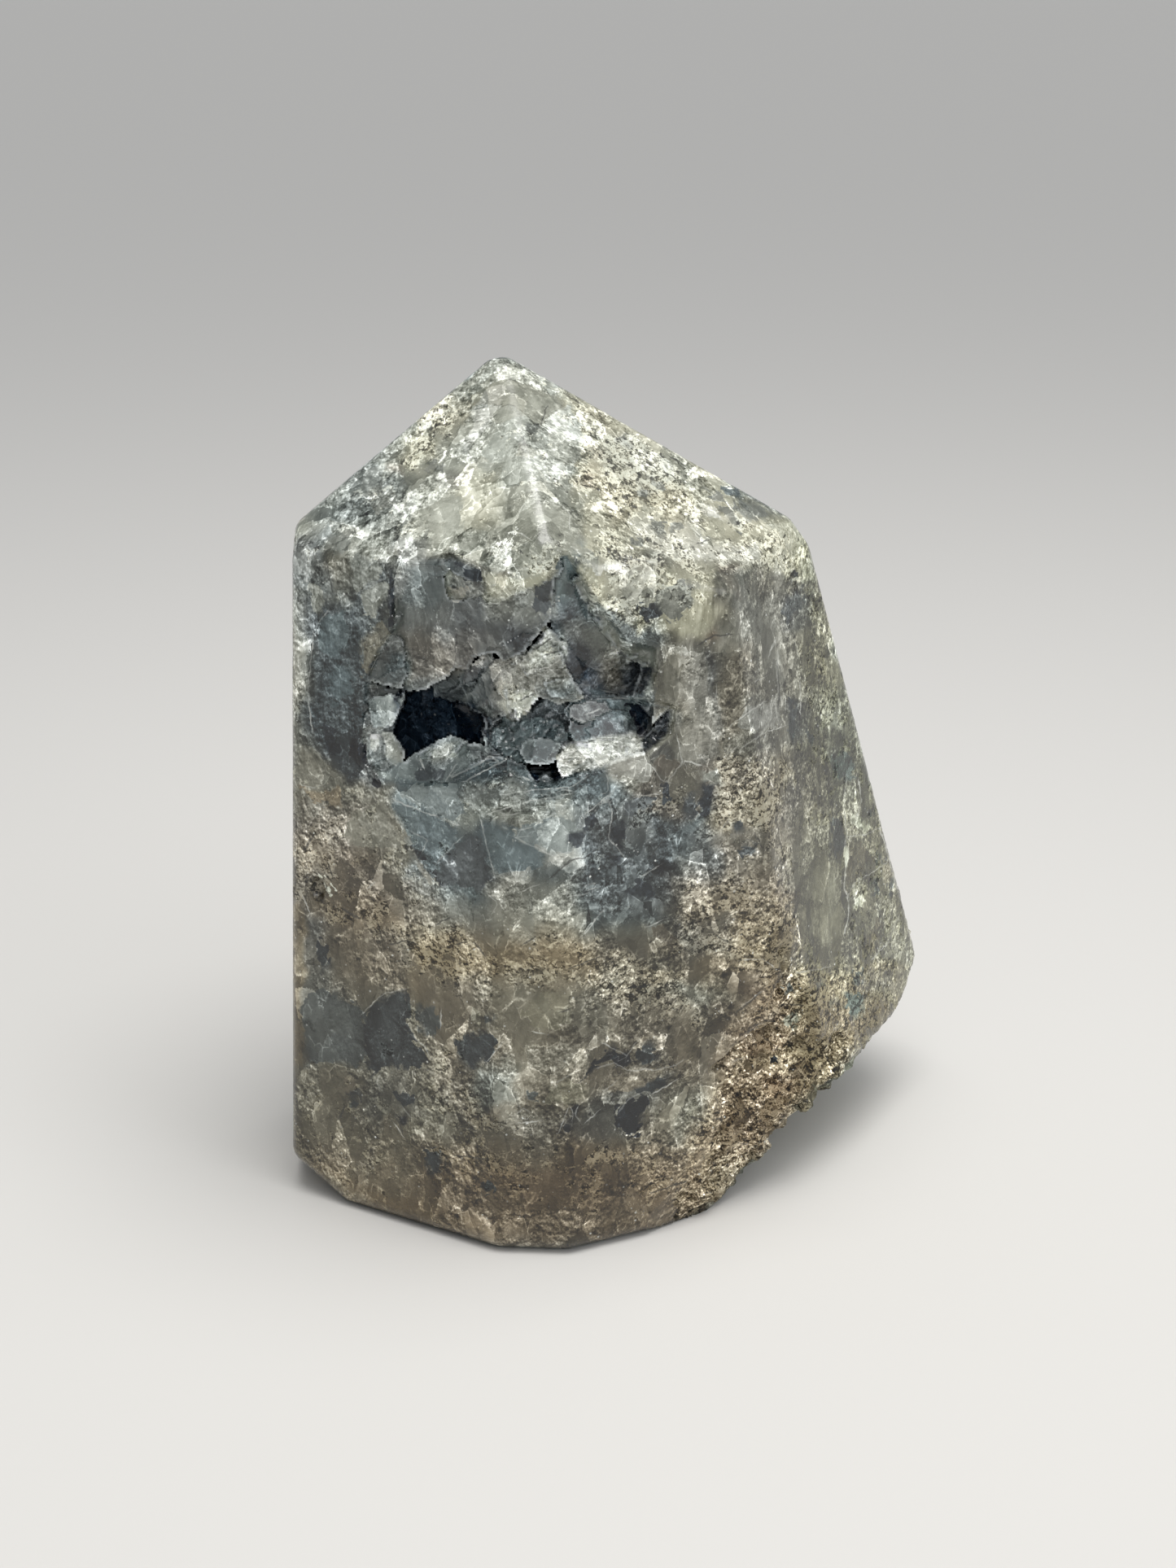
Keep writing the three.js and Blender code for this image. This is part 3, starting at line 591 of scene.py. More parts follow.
# %% Windows and chips
BODY_MARKS = [
    # colour, calmness, outline. Top left facet
    ("white", .3, [(597, 480), (618, 472), (622, 485), (606, 515), (588, 540), (565, 558), (575, 535), (585, 505)]),
    ("pale grey", .8, [(620, 487), (660, 487), (672, 500), (662, 518), (645, 520), (640, 545), (615, 560), (600, 578), (590, 560), (600, 540), (608, 510)]),
    ("mid grey", .8, [(607, 540), (640, 545), (615, 560)]),
    ("mid grey", .8, [(646, 521), (661, 521), (659, 533), (645, 533)]),
    ("chalk", .5, [(675, 500), (700, 497), (715, 520), (715, 560), (705, 575), (700, 600), (660, 600), (640, 590), (620, 570), (650, 545), (665, 520)]),
    ("mid grey", .7, [(563, 558), (573, 541), (581, 546), (575, 560)]),
    ("mid grey", .7, [(521, 577), (535, 565), (546, 572), (540, 583)]),
    ("pale grey", .9, [(530, 615), (565, 612), (570, 640), (560, 665), (545, 680), (530, 670), (525, 640)]),
    ("mid grey", .6, [(452, 604), (480, 600), (484, 626), (462, 630)]),
    ("mid grey", .5, [(412, 655), (422, 644), (438, 652), (430, 662), (426, 682), (405, 680), (402, 666)]),
    # top right facet
    ("mid grey", .9, [(764, 530), (780, 545), (776, 559), (757, 541)]),
    ("mid grey", .9, [(800, 588), (818, 590), (816, 601), (801, 599)]),
    ("mid grey", .9, [(783, 600), (796, 601), (794, 612), (784, 610)]),
    ("mid grey", .9, [(865, 600), (885, 605), (891, 618), (877, 613)]),
    ("ice", .9, [(886, 599), (905, 600), (913, 613), (890, 607)]),
    ("mid grey", .9, [(900, 612), (926, 612), (951, 630), (950, 638), (920, 641), (905, 631)]),
    ("mid grey", .8, [(880, 620), (895, 622), (916, 640), (910, 656), (894, 641)]),
    ("mid grey", .8, [(798, 640), (818, 642), (817, 661), (800, 658)]),
    ("mid grey", .8, [(822, 640), (841, 642), (838, 656), (823, 653)]),
    ("mid grey", .8, [(775, 660), (791, 661), (789, 672), (776, 670)]),
    ("chalk", .5, [(780, 545), (810, 560), (830, 575), (845, 590), (800, 580), (775, 570)]),
    ("white", .6, [(858, 620), (875, 622), (888, 636), (870, 636)]),
    ("cream", .9, [(860, 640), (880, 641), (881, 661), (861, 660)]),
    ("cream", .9, [(930, 642), (975, 648), (980, 680), (935, 680)]),
    ("pale grey", .7, [(706, 669), (730, 679), (743, 695), (722, 701), (712, 690)]),
    ("white", .4, [(724, 698), (735, 692), (755, 697), (768, 691), (772, 700), (764, 705), (742, 703), (730, 706)]),
    ("slate", .5, [(971, 700), (982, 702), (980, 724), (975, 716)]),
    ("slate", .6, [(785, 742), (812, 745), (818, 758), (796, 764), (782, 756)]),
    ("mid grey", .7, [(806, 726), (840, 712), (856, 718), (846, 752), (826, 766), (808, 750)]),
    # upper left
    ("mid grey", .6, [(380, 719), (398, 724), (396, 751), (382, 753)]),
    ("mid grey", .4, [(425, 690), (440, 680), (455, 693), (460, 688), (471, 697), (467, 713), (450, 720), (438, 724), (434, 708)]),
    ("mid grey", .6, [(440, 726), (470, 712), (479, 720), (462, 758), (445, 756)]),
    ("green grey", .6, [(446, 790), (470, 760), (479, 781), (456, 820), (445, 831)]),
    ("dark slate", .7, [(478, 700), (485, 702), (484, 776), (478, 774)]),
    ("teal", .8, [(392, 762), (420, 750), (430, 780), (412, 812), (395, 800)]),
    ("teal", .7, [(400, 828), (428, 812), (438, 850), (410, 868)]),
    ("dark slate", .7, [(392, 880), (412, 899), (424, 930), (400, 926)]),
    ("blue black", .8, [(436, 905), (452, 915), (455, 940), (441, 945), (430, 925)]),
    ("dark slate", .8, [(556, 700), (582, 704), (590, 726), (572, 740), (556, 730)]),
    ("dark slate", .8, [(575, 745), (598, 742), (606, 780), (590, 800), (574, 780)]),
    ("ice", .8, [(500, 705), (530, 700), (540, 716), (520, 740), (500, 736)]),
    # left middle
    ("green grey", .85, [(372, 916), (386, 922), (425, 960), (405, 971), (392, 975), (370, 964), (362, 950)]),
    ("milk", .5, [(386, 942), (402, 940), (414, 954), (398, 962), (382, 958)]),
    ("tan", .8, [(370, 967), (392, 975), (420, 965), (418, 990), (402, 989), (382, 984)]),
    ("green grey", .8, [(430, 1000), (470, 985), (495, 1015), (502, 1038), (480, 1042), (442, 1043), (425, 1026)]),
    ("blue black", .7, [(458, 955), (466, 962), (464, 967), (456, 962)]),
    ("chalk", .3, [(388, 1071), (400, 1080), (411, 1095), (405, 1101), (396, 1087)]),
    ("blue black", .9, [(503, 1039), (515, 1048), (538, 1078), (546, 1087), (537, 1086), (520, 1062)]),
    ("milk", .5, [(501, 1040), (519, 1063), (536, 1086), (532, 1090), (526, 1088), (518, 1072), (508, 1057)]),
    ("chalk", .3, [(525, 1085), (534, 1083), (536, 1087), (530, 1091)]),
    ("slate", .8, [(540, 1060), (550, 1044), (562, 1038), (572, 1025), (585, 1025), (592, 1034), (600, 1056), (608, 1079), (598, 1084), (590, 1093), (560, 1092), (545, 1088), (537, 1078)]),
    ("stone", .4, [(562, 1040), (577, 1038), (580, 1060), (571, 1068), (561, 1065), (556, 1050)]),
    ("blue black", .8, [(577, 1026), (588, 1027), (590, 1035), (583, 1041), (577, 1036)]),
    ("teal", .9, [(480, 985), (505, 990), (555, 1012), (562, 1022), (548, 1040), (530, 1050), (508, 1038), (492, 1008)]),
    ("ice", .85, [(505, 965), (560, 962), (572, 1000), (556, 1009), (505, 988), (488, 976)]),
    # centre
    ("teal", .9, [(590, 1005), (632, 1019), (633, 1032), (658, 1040), (676, 1052), (668, 1062), (640, 1071), (608, 1075), (597, 1050)]),
    ("ice", .5, [(634, 1018), (700, 1003), (714, 1018), (700, 1032), (710, 1040), (700, 1050), (679, 1052), (660, 1040), (634, 1030)]),
    ("dark slate", .3, [(690, 1020), (712, 1018), (718, 1034), (708, 1046), (694, 1036)]),
    ("dark slate", .7, [(718, 1003), (730, 998), (732, 1018), (720, 1018)]),
    ("dark slate", .8, [(750, 1010), (765, 1006), (771, 1020), (765, 1040), (758, 1044), (747, 1030)]),
    ("slate", .8, [(766, 985), (785, 980), (808, 980), (796, 992), (774, 1003), (767, 998)]),
    ("dark slate", .7, [(812, 965), (822, 962), (822, 990), (813, 990)]),
    ("blue black", .8, [(806, 1060), (824, 1057), (828, 1062), (815, 1074), (804, 1075)]),
    ("dark slate", .8, [(765, 1096), (785, 1081), (799, 1088), (807, 1096), (800, 1104), (776, 1103)]),
    ("dark slate", .6, [(742, 1052), (765, 1050), (762, 1062), (744, 1060)]),
    ("stone", .7, [(800, 1138), (815, 1134), (828, 1148), (840, 1160), (824, 1164), (805, 1150)]),
    ("dark slate", .8, [(858, 961), (879, 962), (878, 978), (872, 1004), (861, 1001), (858, 985)]),
    ("mid grey", .4, [(861, 950), (880, 946), (884, 961), (861, 961)]),
    ("milk", .7, [(836, 915), (862, 912), (862, 938), (842, 939)]),
    ("stone", .6, [(800, 941), (812, 925), (838, 938), (824, 957), (816, 959)]),
    ("milk", .85, [(745, 926), (798, 921), (806, 946), (798, 962), (770, 958), (748, 948)]),
    ("slate", .6, [(838, 985), (856, 970), (856, 1000), (842, 1012)]),
    ("slate", .6, [(905, 1040), (930, 1036), (934, 1048), (912, 1056)]),
    ("slate", .6, [(898, 1008), (910, 1004), (914, 1018), (902, 1024)]),
    # right face
    ("green grey", .85, [(1000, 1065), (1030, 1060), (1036, 1104), (1012, 1110), (988, 1104), (990, 1085)]),
    ("green grey", .85, [(992, 1114), (1010, 1112), (1036, 1108), (1037, 1145), (1010, 1165), (996, 1150)]),
    ("milk", .7, [(915, 872), (960, 856), (958, 890), (932, 899), (906, 893)]),
    ("slate", .8, [(968, 858), (978, 866), (982, 900), (974, 915), (966, 892)]),
    ("slate", .8, [(990, 894), (1000, 904), (996, 916), (988, 908)]),
    ("slate", .8, [(1024, 1004), (1035, 1005), (1037, 1038), (1030, 1060), (1022, 1040)]),
    ("teal", .7, [(1022, 930), (1040, 921), (1046, 930), (1051, 955), (1032, 960), (1022, 945)]),
    ("slate", .8, [(1063, 996), (1073, 992), (1070, 1009), (1064, 1009)]),
    ("olive", .8, [(1043, 1036), (1056, 1034), (1076, 1056), (1058, 1072), (1046, 1090), (1039, 1100), (1041, 1062)]),
    ("slate", .7, [(1078, 1046), (1088, 1056), (1078, 1062)]),
    ("white", .3, [(1038, 1042), (1044, 1046), (1044, 1058), (1039, 1063)]),
    ("white", .3, [(1051, 1106), (1060, 1098), (1063, 1104), (1054, 1116)]),
    ("chalk", .3, [(1050, 1003), (1062, 1009), (1072, 1018), (1060, 1023), (1050, 1012)]),
    ("slate", .8, [(1090, 1083), (1097, 1080), (1096, 1100), (1091, 1100)]),
    ("slate", .7, [(1070, 1083), (1082, 1082), (1080, 1098), (1072, 1100)]),
    ("olive", .7, [(1058, 1160), (1070, 1140), (1078, 1120), (1084, 1150), (1072, 1172), (1062, 1176)]),
    ("slate", .6, [(1048, 1194), (1060, 1190), (1059, 1208), (1049, 1208)]),
    ("slate", .6, [(966, 775), (976, 757), (990, 735), (986, 720), (968, 736), (962, 752)]),
    ("green grey", .8, [(812, 800), (838, 795), (834, 850), (822, 878), (804, 870)]),
    # low left
    ("slate", .95, [(378, 1218), (405, 1219), (422, 1228), (440, 1238), (449, 1247), (448, 1300), (440, 1311), (420, 1308), (400, 1305), (380, 1309), (373, 1290), (371, 1250), (374, 1230)]),
    ("dark slate", .7, [(449, 1244), (460, 1232), (478, 1222), (500, 1216), (503, 1240), (500, 1258), (510, 1278), (524, 1293), (526, 1305), (515, 1312), (490, 1314), (470, 1312), (455, 1325), (450, 1300), (446, 1270)]),
    ("slate", .8, [(462, 1250), (475, 1242), (499, 1245), (500, 1262), (480, 1268), (468, 1262)]),
    ("slate", .6, [(515, 1236), (534, 1240), (540, 1260), (530, 1276), (515, 1268), (510, 1250)]),
    ("dark slate", .9, [(561, 1276), (580, 1270), (600, 1266), (613, 1276), (611, 1290), (600, 1301), (586, 1310), (578, 1316), (570, 1306), (559, 1298), (559, 1285)]),
    ("milk", .3, [(581, 1238), (592, 1240), (594, 1258), (588, 1267), (581, 1258)]),
    ("slate", .4, [(592, 1250), (602, 1243), (606, 1255), (595, 1257)]),
    ("dark slate", .6, [(392, 1152), (401, 1160), (404, 1185), (396, 1198), (388, 1170)]),
    ("dark slate", .8, [(422, 1345), (440, 1334), (443, 1355), (431, 1362)]),
    ("dark slate", .7, [(484, 1343), (505, 1339), (509, 1355), (494, 1363)]),
    ("blue black", .8, [(487, 1373), (500, 1371), (501, 1382), (490, 1383)]),
    ("stone", .7, [(466, 1374), (478, 1370), (478, 1386), (466, 1390)]),
    ("stone", .5, [(422, 1322), (434, 1318), (440, 1334), (428, 1344), (422, 1336)]),
    # low centre
    ("green grey", .8, [(642, 1245), (650, 1229), (672, 1216), (702, 1220), (702, 1258), (672, 1266), (655, 1262)]),
    ("blue black", .9, [(714, 1321), (735, 1300), (745, 1290), (754, 1284), (760, 1290), (776, 1296), (778, 1305), (768, 1315), (757, 1313), (750, 1306), (736, 1310), (722, 1322)]),
    ("dark slate", .7, [(777, 1300), (782, 1290), (800, 1281), (807, 1300), (800, 1309), (790, 1311)]),
    ("stone", .4, [(720, 1324), (740, 1309), (755, 1309), (770, 1316), (800, 1309), (820, 1312), (810, 1325), (790, 1338), (770, 1345), (745, 1338), (725, 1336)]),
    ("dark slate", .8, [(770, 1342), (800, 1326), (826, 1318), (816, 1335), (792, 1346)]),
    ("blue black", .6, [(757, 1360), (775, 1352), (793, 1345), (800, 1355), (790, 1375), (785, 1395), (765, 1396), (757, 1380)]),
    ("blue black", .8, [(688, 1389), (700, 1365), (712, 1355), (709, 1376), (700, 1386), (691, 1395)]),
    ("slate", .8, [(648, 1342), (664, 1340), (662, 1352), (650, 1352)]),
    ("green grey", .6, [(672, 1340), (700, 1325), (722, 1340), (718, 1352), (690, 1358), (670, 1356)]),
    # bottom
    ("dark slate", .4, [(521, 1415), (540, 1410), (548, 1425), (540, 1441), (525, 1440)]),
    ("brown", .5, [(530, 1452), (545, 1440), (561, 1444), (541, 1459)]),
    ("dark slate", .5, [(584, 1453), (600, 1450), (607, 1462), (596, 1468)]),
    ("brown", .5, [(744, 1455), (752, 1462), (751, 1471), (742, 1466)]),
    ("brown", .5, [(785, 1455), (800, 1451), (799, 1466), (785, 1466)]),
    # broken side
    ("blue black", .8, [(946, 1302), (955, 1299), (959, 1312), (950, 1315)]),
    ("slate", .6, [(964, 1205), (979, 1214), (980, 1223), (966, 1222)]),
    ("slate", .6, [(1004, 1204), (1014, 1203), (1013, 1213), (1005, 1213)]),
    ("teal", .7, [(1040, 1221), (1058, 1221), (1061, 1240), (1051, 1253), (1040, 1238)]),
    ("slate", .6, [(1022, 1228), (1030, 1226), (1030, 1235), (1022, 1236)]),
    ("mid grey", .6, [(968, 1256), (984, 1244), (992, 1250), (976, 1266)]),
]

# %% [markdown]
# Healed cracks show as thin white lines and open ones as thin dark lines. They are drawn as strokes with a width in
# pixels.

# %% Strokes
WHITE_STROKES = [
    (1.2, [(1040, 958), (1037, 985), (1040, 1025), (1038, 1040)]), (1.3, [(1040, 1060), (1037, 1090), (1043, 1112), (1042, 1130), (1037, 1148)]),
    (1.1, [(1040, 1028), (1062, 1026), (1080, 1018)]), (1.2, [(1072, 1178), (1090, 1160), (1105, 1125)]), (1.1, [(1041, 1104), (1050, 1085), (1075, 1070), (1090, 1060)]),
    (1.8, [(1082, 1022), (1090, 1045), (1100, 1085), (1112, 1110)]), (1.6, [(1055, 960), (1058, 985), (1052, 1005)]),
    (1.8, [(482, 982), (510, 994), (535, 1003), (562, 1014)]), (1.6, [(506, 1022), (525, 1032), (520, 1045)]), (1.4, [(536, 1062), (552, 1044), (566, 1030)]),
    (1.6, [(590, 1005), (600, 1045), (608, 1078)]), (2.0, [(634, 1030), (660, 1042), (678, 1052), (700, 1047)]), (2.2, [(618, 1003), (634, 1000)]),
    (2.2, [(638, 1020), (648, 1018)]), (1.6, [(620, 976), (660, 970), (700, 968), (720, 955)]), (1.6, [(600, 1000), (650, 985), (700, 976)]),
    (1.5, [(740, 990), (756, 972)]), (1.5, [(720, 1000), (742, 982), (757, 968)]), (1.6, [(786, 978), (808, 976)]), (1.6, [(802, 943), (812, 958), (822, 962)]),
    (1.5, [(745, 952), (752, 1000), (748, 1030), (766, 1052)]), (1.8, [(790, 1076), (806, 1066)]), (1.6, [(794, 1140), (812, 1132)]), (1.5, [(885, 1020), (900, 1004)]),
    (1.5, [(838, 938), (822, 958)]), (1.7, [(832, 905), (838, 935), (860, 940)]), (1.5, [(724, 1140), (735, 1126), (740, 1120)]), (1.4, [(715, 1150), (728, 1138)]),
    (1.5, [(702, 1092), (728, 1086)]), (1.5, [(690, 1098), (730, 1092)]), (1.4, [(700, 1102), (722, 1098)]), (1.6, [(644, 1094), (660, 1088)]),
    (1.7, [(895, 895), (918, 876), (940, 862)]), (1.5, [(880, 845), (880, 860)]), (2.0, [(944, 806), (952, 788)]), (1.5, [(912, 918), (940, 900), (962, 893)]),
    (1.5, [(905, 918), (895, 925)]), (2.0, [(928, 838), (936, 834)]), (1.6, [(955, 800), (956, 850)]), (1.4, [(983, 840), (984, 875)]),
    (1.6, [(628, 654), (640, 655), (648, 661)]), (1.6, [(690, 620), (700, 632), (700, 650)]), (1.6, [(745, 690), (770, 695)]), (1.6, [(762, 685), (800, 690)]),
    (1.6, [(372, 965), (386, 968), (392, 966)]), (1.6, [(450, 950), (456, 972), (462, 985)]), (1.6, [(470, 712), (440, 727)]), (1.5, [(478, 781), (456, 822)]),
    (1.5, [(402, 752), (392, 764)]), (1.5, [(500, 780), (532, 748)]), (1.4, [(508, 786), (540, 752)]), (1.4, [(516, 790), (548, 756)]), (1.5, [(385, 780), (378, 850), (384, 900)]),
    (1.6, [(512, 1278), (520, 1284), (526, 1294)]), (1.6, [(466, 1322), (462, 1330), (466, 1336)]), (1.4, [(486, 1383), (496, 1397)]), (1.5, [(496, 1362), (503, 1372)]),
    (1.4, [(542, 1244), (541, 1262)]), (1.4, [(448, 1243), (470, 1222), (500, 1215)]), (1.4, [(600, 1302), (615, 1285)]), (1.5, [(682, 1331), (700, 1321)]),
    (1.6, [(710, 1362), (706, 1370), (712, 1377)]), (1.5, [(698, 1362), (686, 1392)]), (1.5, [(721, 1378), (735, 1366)]), (1.5, [(640, 1360), (650, 1366)]),
    (1.5, [(640, 1380), (660, 1377)]), (1.6, [(636, 1368), (644, 1362)]), (1.6, [(740, 1282), (770, 1297), (780, 1283)]), (1.5, [(735, 1312), (755, 1306), (770, 1316), (800, 1314)]),
    (1.5, [(800, 1316), (830, 1310), (838, 1304)]), (1.6, [(742, 1342), (756, 1330)]), (1.6, [(762, 1364), (772, 1350), (785, 1344)]), (1.5, [(805, 1342), (830, 1328)]),
    (1.5, [(655, 1268), (668, 1271)]), (1.6, [(452, 1092), (460, 1085)]), (1.5, [(380, 1120), (372, 1100)]), (1.4, [(600, 1100), (612, 1110), (606, 1120)]),
    (1.5, [(915, 1180), (935, 1178), (950, 1188)]), (1.6, [(980, 1196), (1020, 1188)]), (1.6, [(912, 1236), (935, 1220)]), (1.5, [(900, 1304), (912, 1298)]),
]
DARK_STROKES = [
    (2.2, [(376, 1042), (384, 1028)]), (1.8, [(404, 1062), (408, 1075)]), (2.0, [(480, 1160), (500, 1156), (512, 1160)]), (2.6, [(584, 1160), (594, 1172)]), (1.6, [(464, 1135), (468, 1148)]),
    (2.6, [(422, 1118), (440, 1128)]), (1.8, [(487, 1375), (495, 1392)]), (2.0, [(416, 1374), (424, 1360)]), (1.8, [(500, 1240), (500, 1216)]), (2.2, [(678, 1078), (700, 1058), (712, 1055)]),
    (1.6, [(716, 1056), (736, 1042)]), (1.8, [(802, 1050), (812, 1036)]), (1.8, [(980, 1140), (985, 1150)]), (1.6, [(880, 1150), (895, 1158)]), (1.8, [(955, 820), (958, 850), (956, 870)]),
    (1.8, [(924, 858), (912, 872)]), (1.6, [(980, 965), (978, 985)]), (1.6, [(672, 500), (665, 520)]), (1.6, [(692, 472), (702, 482)]), (1.6, [(693, 484), (715, 497)]),
    (1.8, [(825, 562), (842, 573)]), (1.8, [(402, 692), (408, 725)]), (1.6, [(852, 640), (866, 652)]), (1.6, [(858, 668), (870, 664)]), (1.8, [(925, 694), (928, 700)]),
    (2.2, [(860, 792), (875, 781), (898, 780)]), (1.6, [(1063, 1150), (1062, 1172)]), (1.8, [(1035, 1092), (1036, 1100)]), (2.2, [(928, 1026), (936, 1040)]), (1.8, [(905, 1245), (935, 1220)]),
    (1.8, [(958, 1236), (990, 1238)]), (1.6, [(945, 1280), (962, 1292)]), (1.6, [(712, 1330), (722, 1322)]), (2.0, [(700, 1240), (690, 1244)]), (1.8, [(800, 1300), (812, 1296)]),
    (1.8, [(560, 1160), (572, 1158)]), (1.8, [(644, 1160), (656, 1152)]), (1.8, [(700, 1190), (735, 1176)]), (1.8, [(770, 1215), (800, 1210)]), (1.8, [(800, 1466), (842, 1452)]),
    (1.6, [(850, 1372), (868, 1378)]), (1.8, [(560, 1420), (600, 1424)]), (1.8, [(566, 1384), (584, 1388)]), (1.8, [(536, 1136), (552, 1128)]), (1.6, [(836, 1128), (812, 1132)]),
]
print("zones:", len(BODY_ZONES), "windows:", len(BODY_MARKS), "strokes:", len(WHITE_STROKES) + len(DARK_STROKES))

# %% [markdown]
# Four masks say where the stone is sandy matrix, where it is a mosaic of small grains, and where fine fibres run
# through the crystal, aslant or upright. The values go from 0 to 1.

# %% Masks of the shown side
SAND_ZONES = [
    (.62, 10, [(510, 520), (530, 500), (590, 487), (583, 515), (530, 535), (535, 550), (515, 580), (498, 560)]),
    (.30, 12, [(430, 600), (530, 580), (560, 620), (530, 680), (470, 665), (390, 670)]),
    (.45, 12, [(600, 665), (690, 660), (690, 715), (610, 722)]),
    (.72, 12, [(712, 508), (745, 508), (780, 540), (850, 590), (860, 620), (850, 640), (800, 630), (760, 660), (740, 625), (705, 600)]),
    (.60, 14, [(730, 660), (860, 650), (900, 690), (850, 720), (800, 780), (760, 790), (720, 740), (705, 700)]),
    (.55, 10, [(840, 640), (990, 655), (1000, 710), (900, 715), (850, 700)]),
    (.35, 12, [(355, 660), (402, 660), (400, 725), (360, 725)]),
    (.62, 10, [(360, 1020), (400, 1025), (420, 1085), (400, 1110), (360, 1110)]),
    (.40, 14, [(400, 1035), (480, 1045), (470, 1090), (410, 1090)]),
    (.60, 12, [(400, 1085), (440, 1100), (500, 1140), (520, 1170), (470, 1165), (395, 1130)]),
    (.50, 10, [(560, 1040), (580, 1040), (580, 1068), (560, 1066)]),
    (.72, 12, [(480, 1150), (560, 1150), (640, 1180), (700, 1175), (760, 1175), (830, 1195), (840, 1235), (760, 1235), (700, 1210), (600, 1215), (520, 1190)]),
    (.35, 14, [(600, 1140), (680, 1140), (690, 1180), (610, 1180)]),
    (.62, 14, [(830, 1075), (960, 1060), (985, 1100), (1000, 1190), (900, 1200), (830, 1160)]),
    (.80, 10, [(890, 935), (965, 930), (958, 1000), (935, 1030), (885, 1015)]),
    (.62, 9, [(800, 975), (850, 970), (838, 1010), (780, 1020), (770, 995)]),
    (.55, 9, [(756, 1058), (790, 1056), (790, 1080), (760, 1082)]),
    (.50, 9, [(930, 1010), (965, 1010), (965, 1100), (930, 1090)]),
    (.42, 16, [(965, 720), (1010, 710), (1100, 1060), (1110, 1180), (1045, 1180), (1000, 1000)]),
    (.55, 10, [(1004, 850), (1036, 860), (1036, 900), (1006, 898)]),
    (.50, 10, [(1000, 800), (1020, 830), (1035, 870), (1010, 870)]),
    (.75, 14, [(980, 1165), (1100, 1190), (1085, 1270), (1000, 1340), (900, 1480), (850, 1480), (860, 1400), (905, 1300), (930, 1230)]),
    (.62, 14, [(850, 1330), (910, 1290), (920, 1380), (860, 1400)]),
    (.45, 14, [(530, 1320), (600, 1330), (600, 1400), (540, 1400)]),
    (.50, 14, [(500, 1400), (620, 1400), (700, 1420), (830, 1400), (880, 1440), (820, 1490), (600, 1480), (500, 1440)]),
    (.40, 14, [(420, 1400), (500, 1400), (500, 1460), (430, 1440)]),
    (.40, 10, [(700, 1230), (750, 1235), (745, 1270), (705, 1262)]),
    (.45, 10, [(840, 1250), (870, 1250), (870, 1280), (840, 1280)]),
    (.05, 10, [(485, 690), (600, 700), (600, 800), (500, 840)]),
    (.02, 10, [(372, 1215), (450, 1240), (450, 1310), (372, 1310)]),
    (.05, 10, [(590, 1000), (715, 1000), (700, 1050), (600, 1075)]),
    (.05, 12, [(985, 1055), (1038, 1055), (1038, 1160), (985, 1160)]),
]
MOSAIC_ZONES = [
    (.9, 16, [(345, 640), (520, 570), (560, 680), (480, 700), (380, 730)]),
    (.3, 12, [(490, 690), (600, 700), (600, 800), (500, 840)]),
    (.3, 12, [(365, 920), (425, 960), (500, 1040), (430, 1045), (365, 1000)]),
    (1., 14, [(715, 990), (930, 1010), (940, 1110), (830, 1170), (720, 1130)]),
    (.9, 16, [(830, 1090), (1000, 1100), (1000, 1230), (830, 1200)]),
    (.9, 14, [(455, 1280), (600, 1310), (600, 1470), (460, 1400)]),
    (.2, 12, [(372, 1215), (450, 1240), (450, 1310), (372, 1310)]),
    (.3, 12, [(590, 1000), (715, 1000), (700, 1050), (600, 1075)]),
    (.2, 12, [(985, 1055), (1038, 1055), (1038, 1160), (985, 1160)]),
    (.9, 16, [(960, 700), (1010, 700), (1060, 930), (1040, 1000), (985, 1000)]),
    (.3, 14, [(625, 1210), (720, 1210), (720, 1330), (625, 1330)]),
    (1., 14, [(1040, 1000), (1125, 1150), (1100, 1260), (960, 1370), (900, 1480), (880, 1400), (960, 1200), (1045, 1190)]),
]
FIBRE_ZONES = [
    (.9, 8, [(560, 560), (600, 480), (625, 475), (600, 540)]), (.8, 10, [(650, 520), (715, 510), (705, 600), (650, 600)]),
    (.8, 9, [(560, 985), (606, 972), (612, 1000), (570, 1002)]), (1., 9, [(610, 985), (700, 968), (716, 985), (650, 1012), (615, 1010)]),
    (.7, 9, [(560, 925), (620, 915), (640, 950), (560, 975)]), (.8, 9, [(685, 1078), (735, 1078), (735, 1106), (690, 1106)]),
    (.8, 8, [(712, 1115), (742, 1115), (738, 1150), (712, 1155)]), (.6, 10, [(495, 730), (560, 720), (560, 790), (500, 800)]),
    (.7, 10, [(890, 950), (960, 940), (955, 1010), (895, 1015)]), (.8, 9, [(895, 1288), (940, 1288), (930, 1312), (900, 1314)]),
    (.6, 12, [(960, 1180), (1060, 1190), (1060, 1280), (980, 1290)]), (.5, 12, [(690, 1170), (780, 1165), (790, 1215), (700, 1210)]),
    (.7, 10, [(700, 1225), (745, 1230), (735, 1262), (700, 1256)]), (.5, 10, [(440, 700), (480, 705), (470, 830), (440, 850)]),
]
UPRIGHT_ZONES = [
    (.9, 26, [(850, 720), (1000, 705), (1070, 940), (1120, 1170), (990, 1220), (950, 1060), (885, 930), (835, 925), (810, 830)]),
    (.8, 16, [(350, 700), (480, 690), (478, 840), (452, 960), (350, 930)]), (.7, 10, [(484, 690), (600, 700), (600, 800), (500, 830)]),
    (.6, 14, [(650, 470), (740, 500), (740, 620), (660, 640)]), (.7, 14, [(590, 1060), (720, 1060), (720, 1170), (600, 1170)]),
    (.5, 20, [(630, 1200), (720, 1200), (700, 1360), (640, 1360)]),
]

# %% [markdown]
# The photograph does not show the back. There the same stone goes on: its zones come from slow noise in space, and its
# windows are random outlines on the flat facets, in the same colours and sizes as those in front.

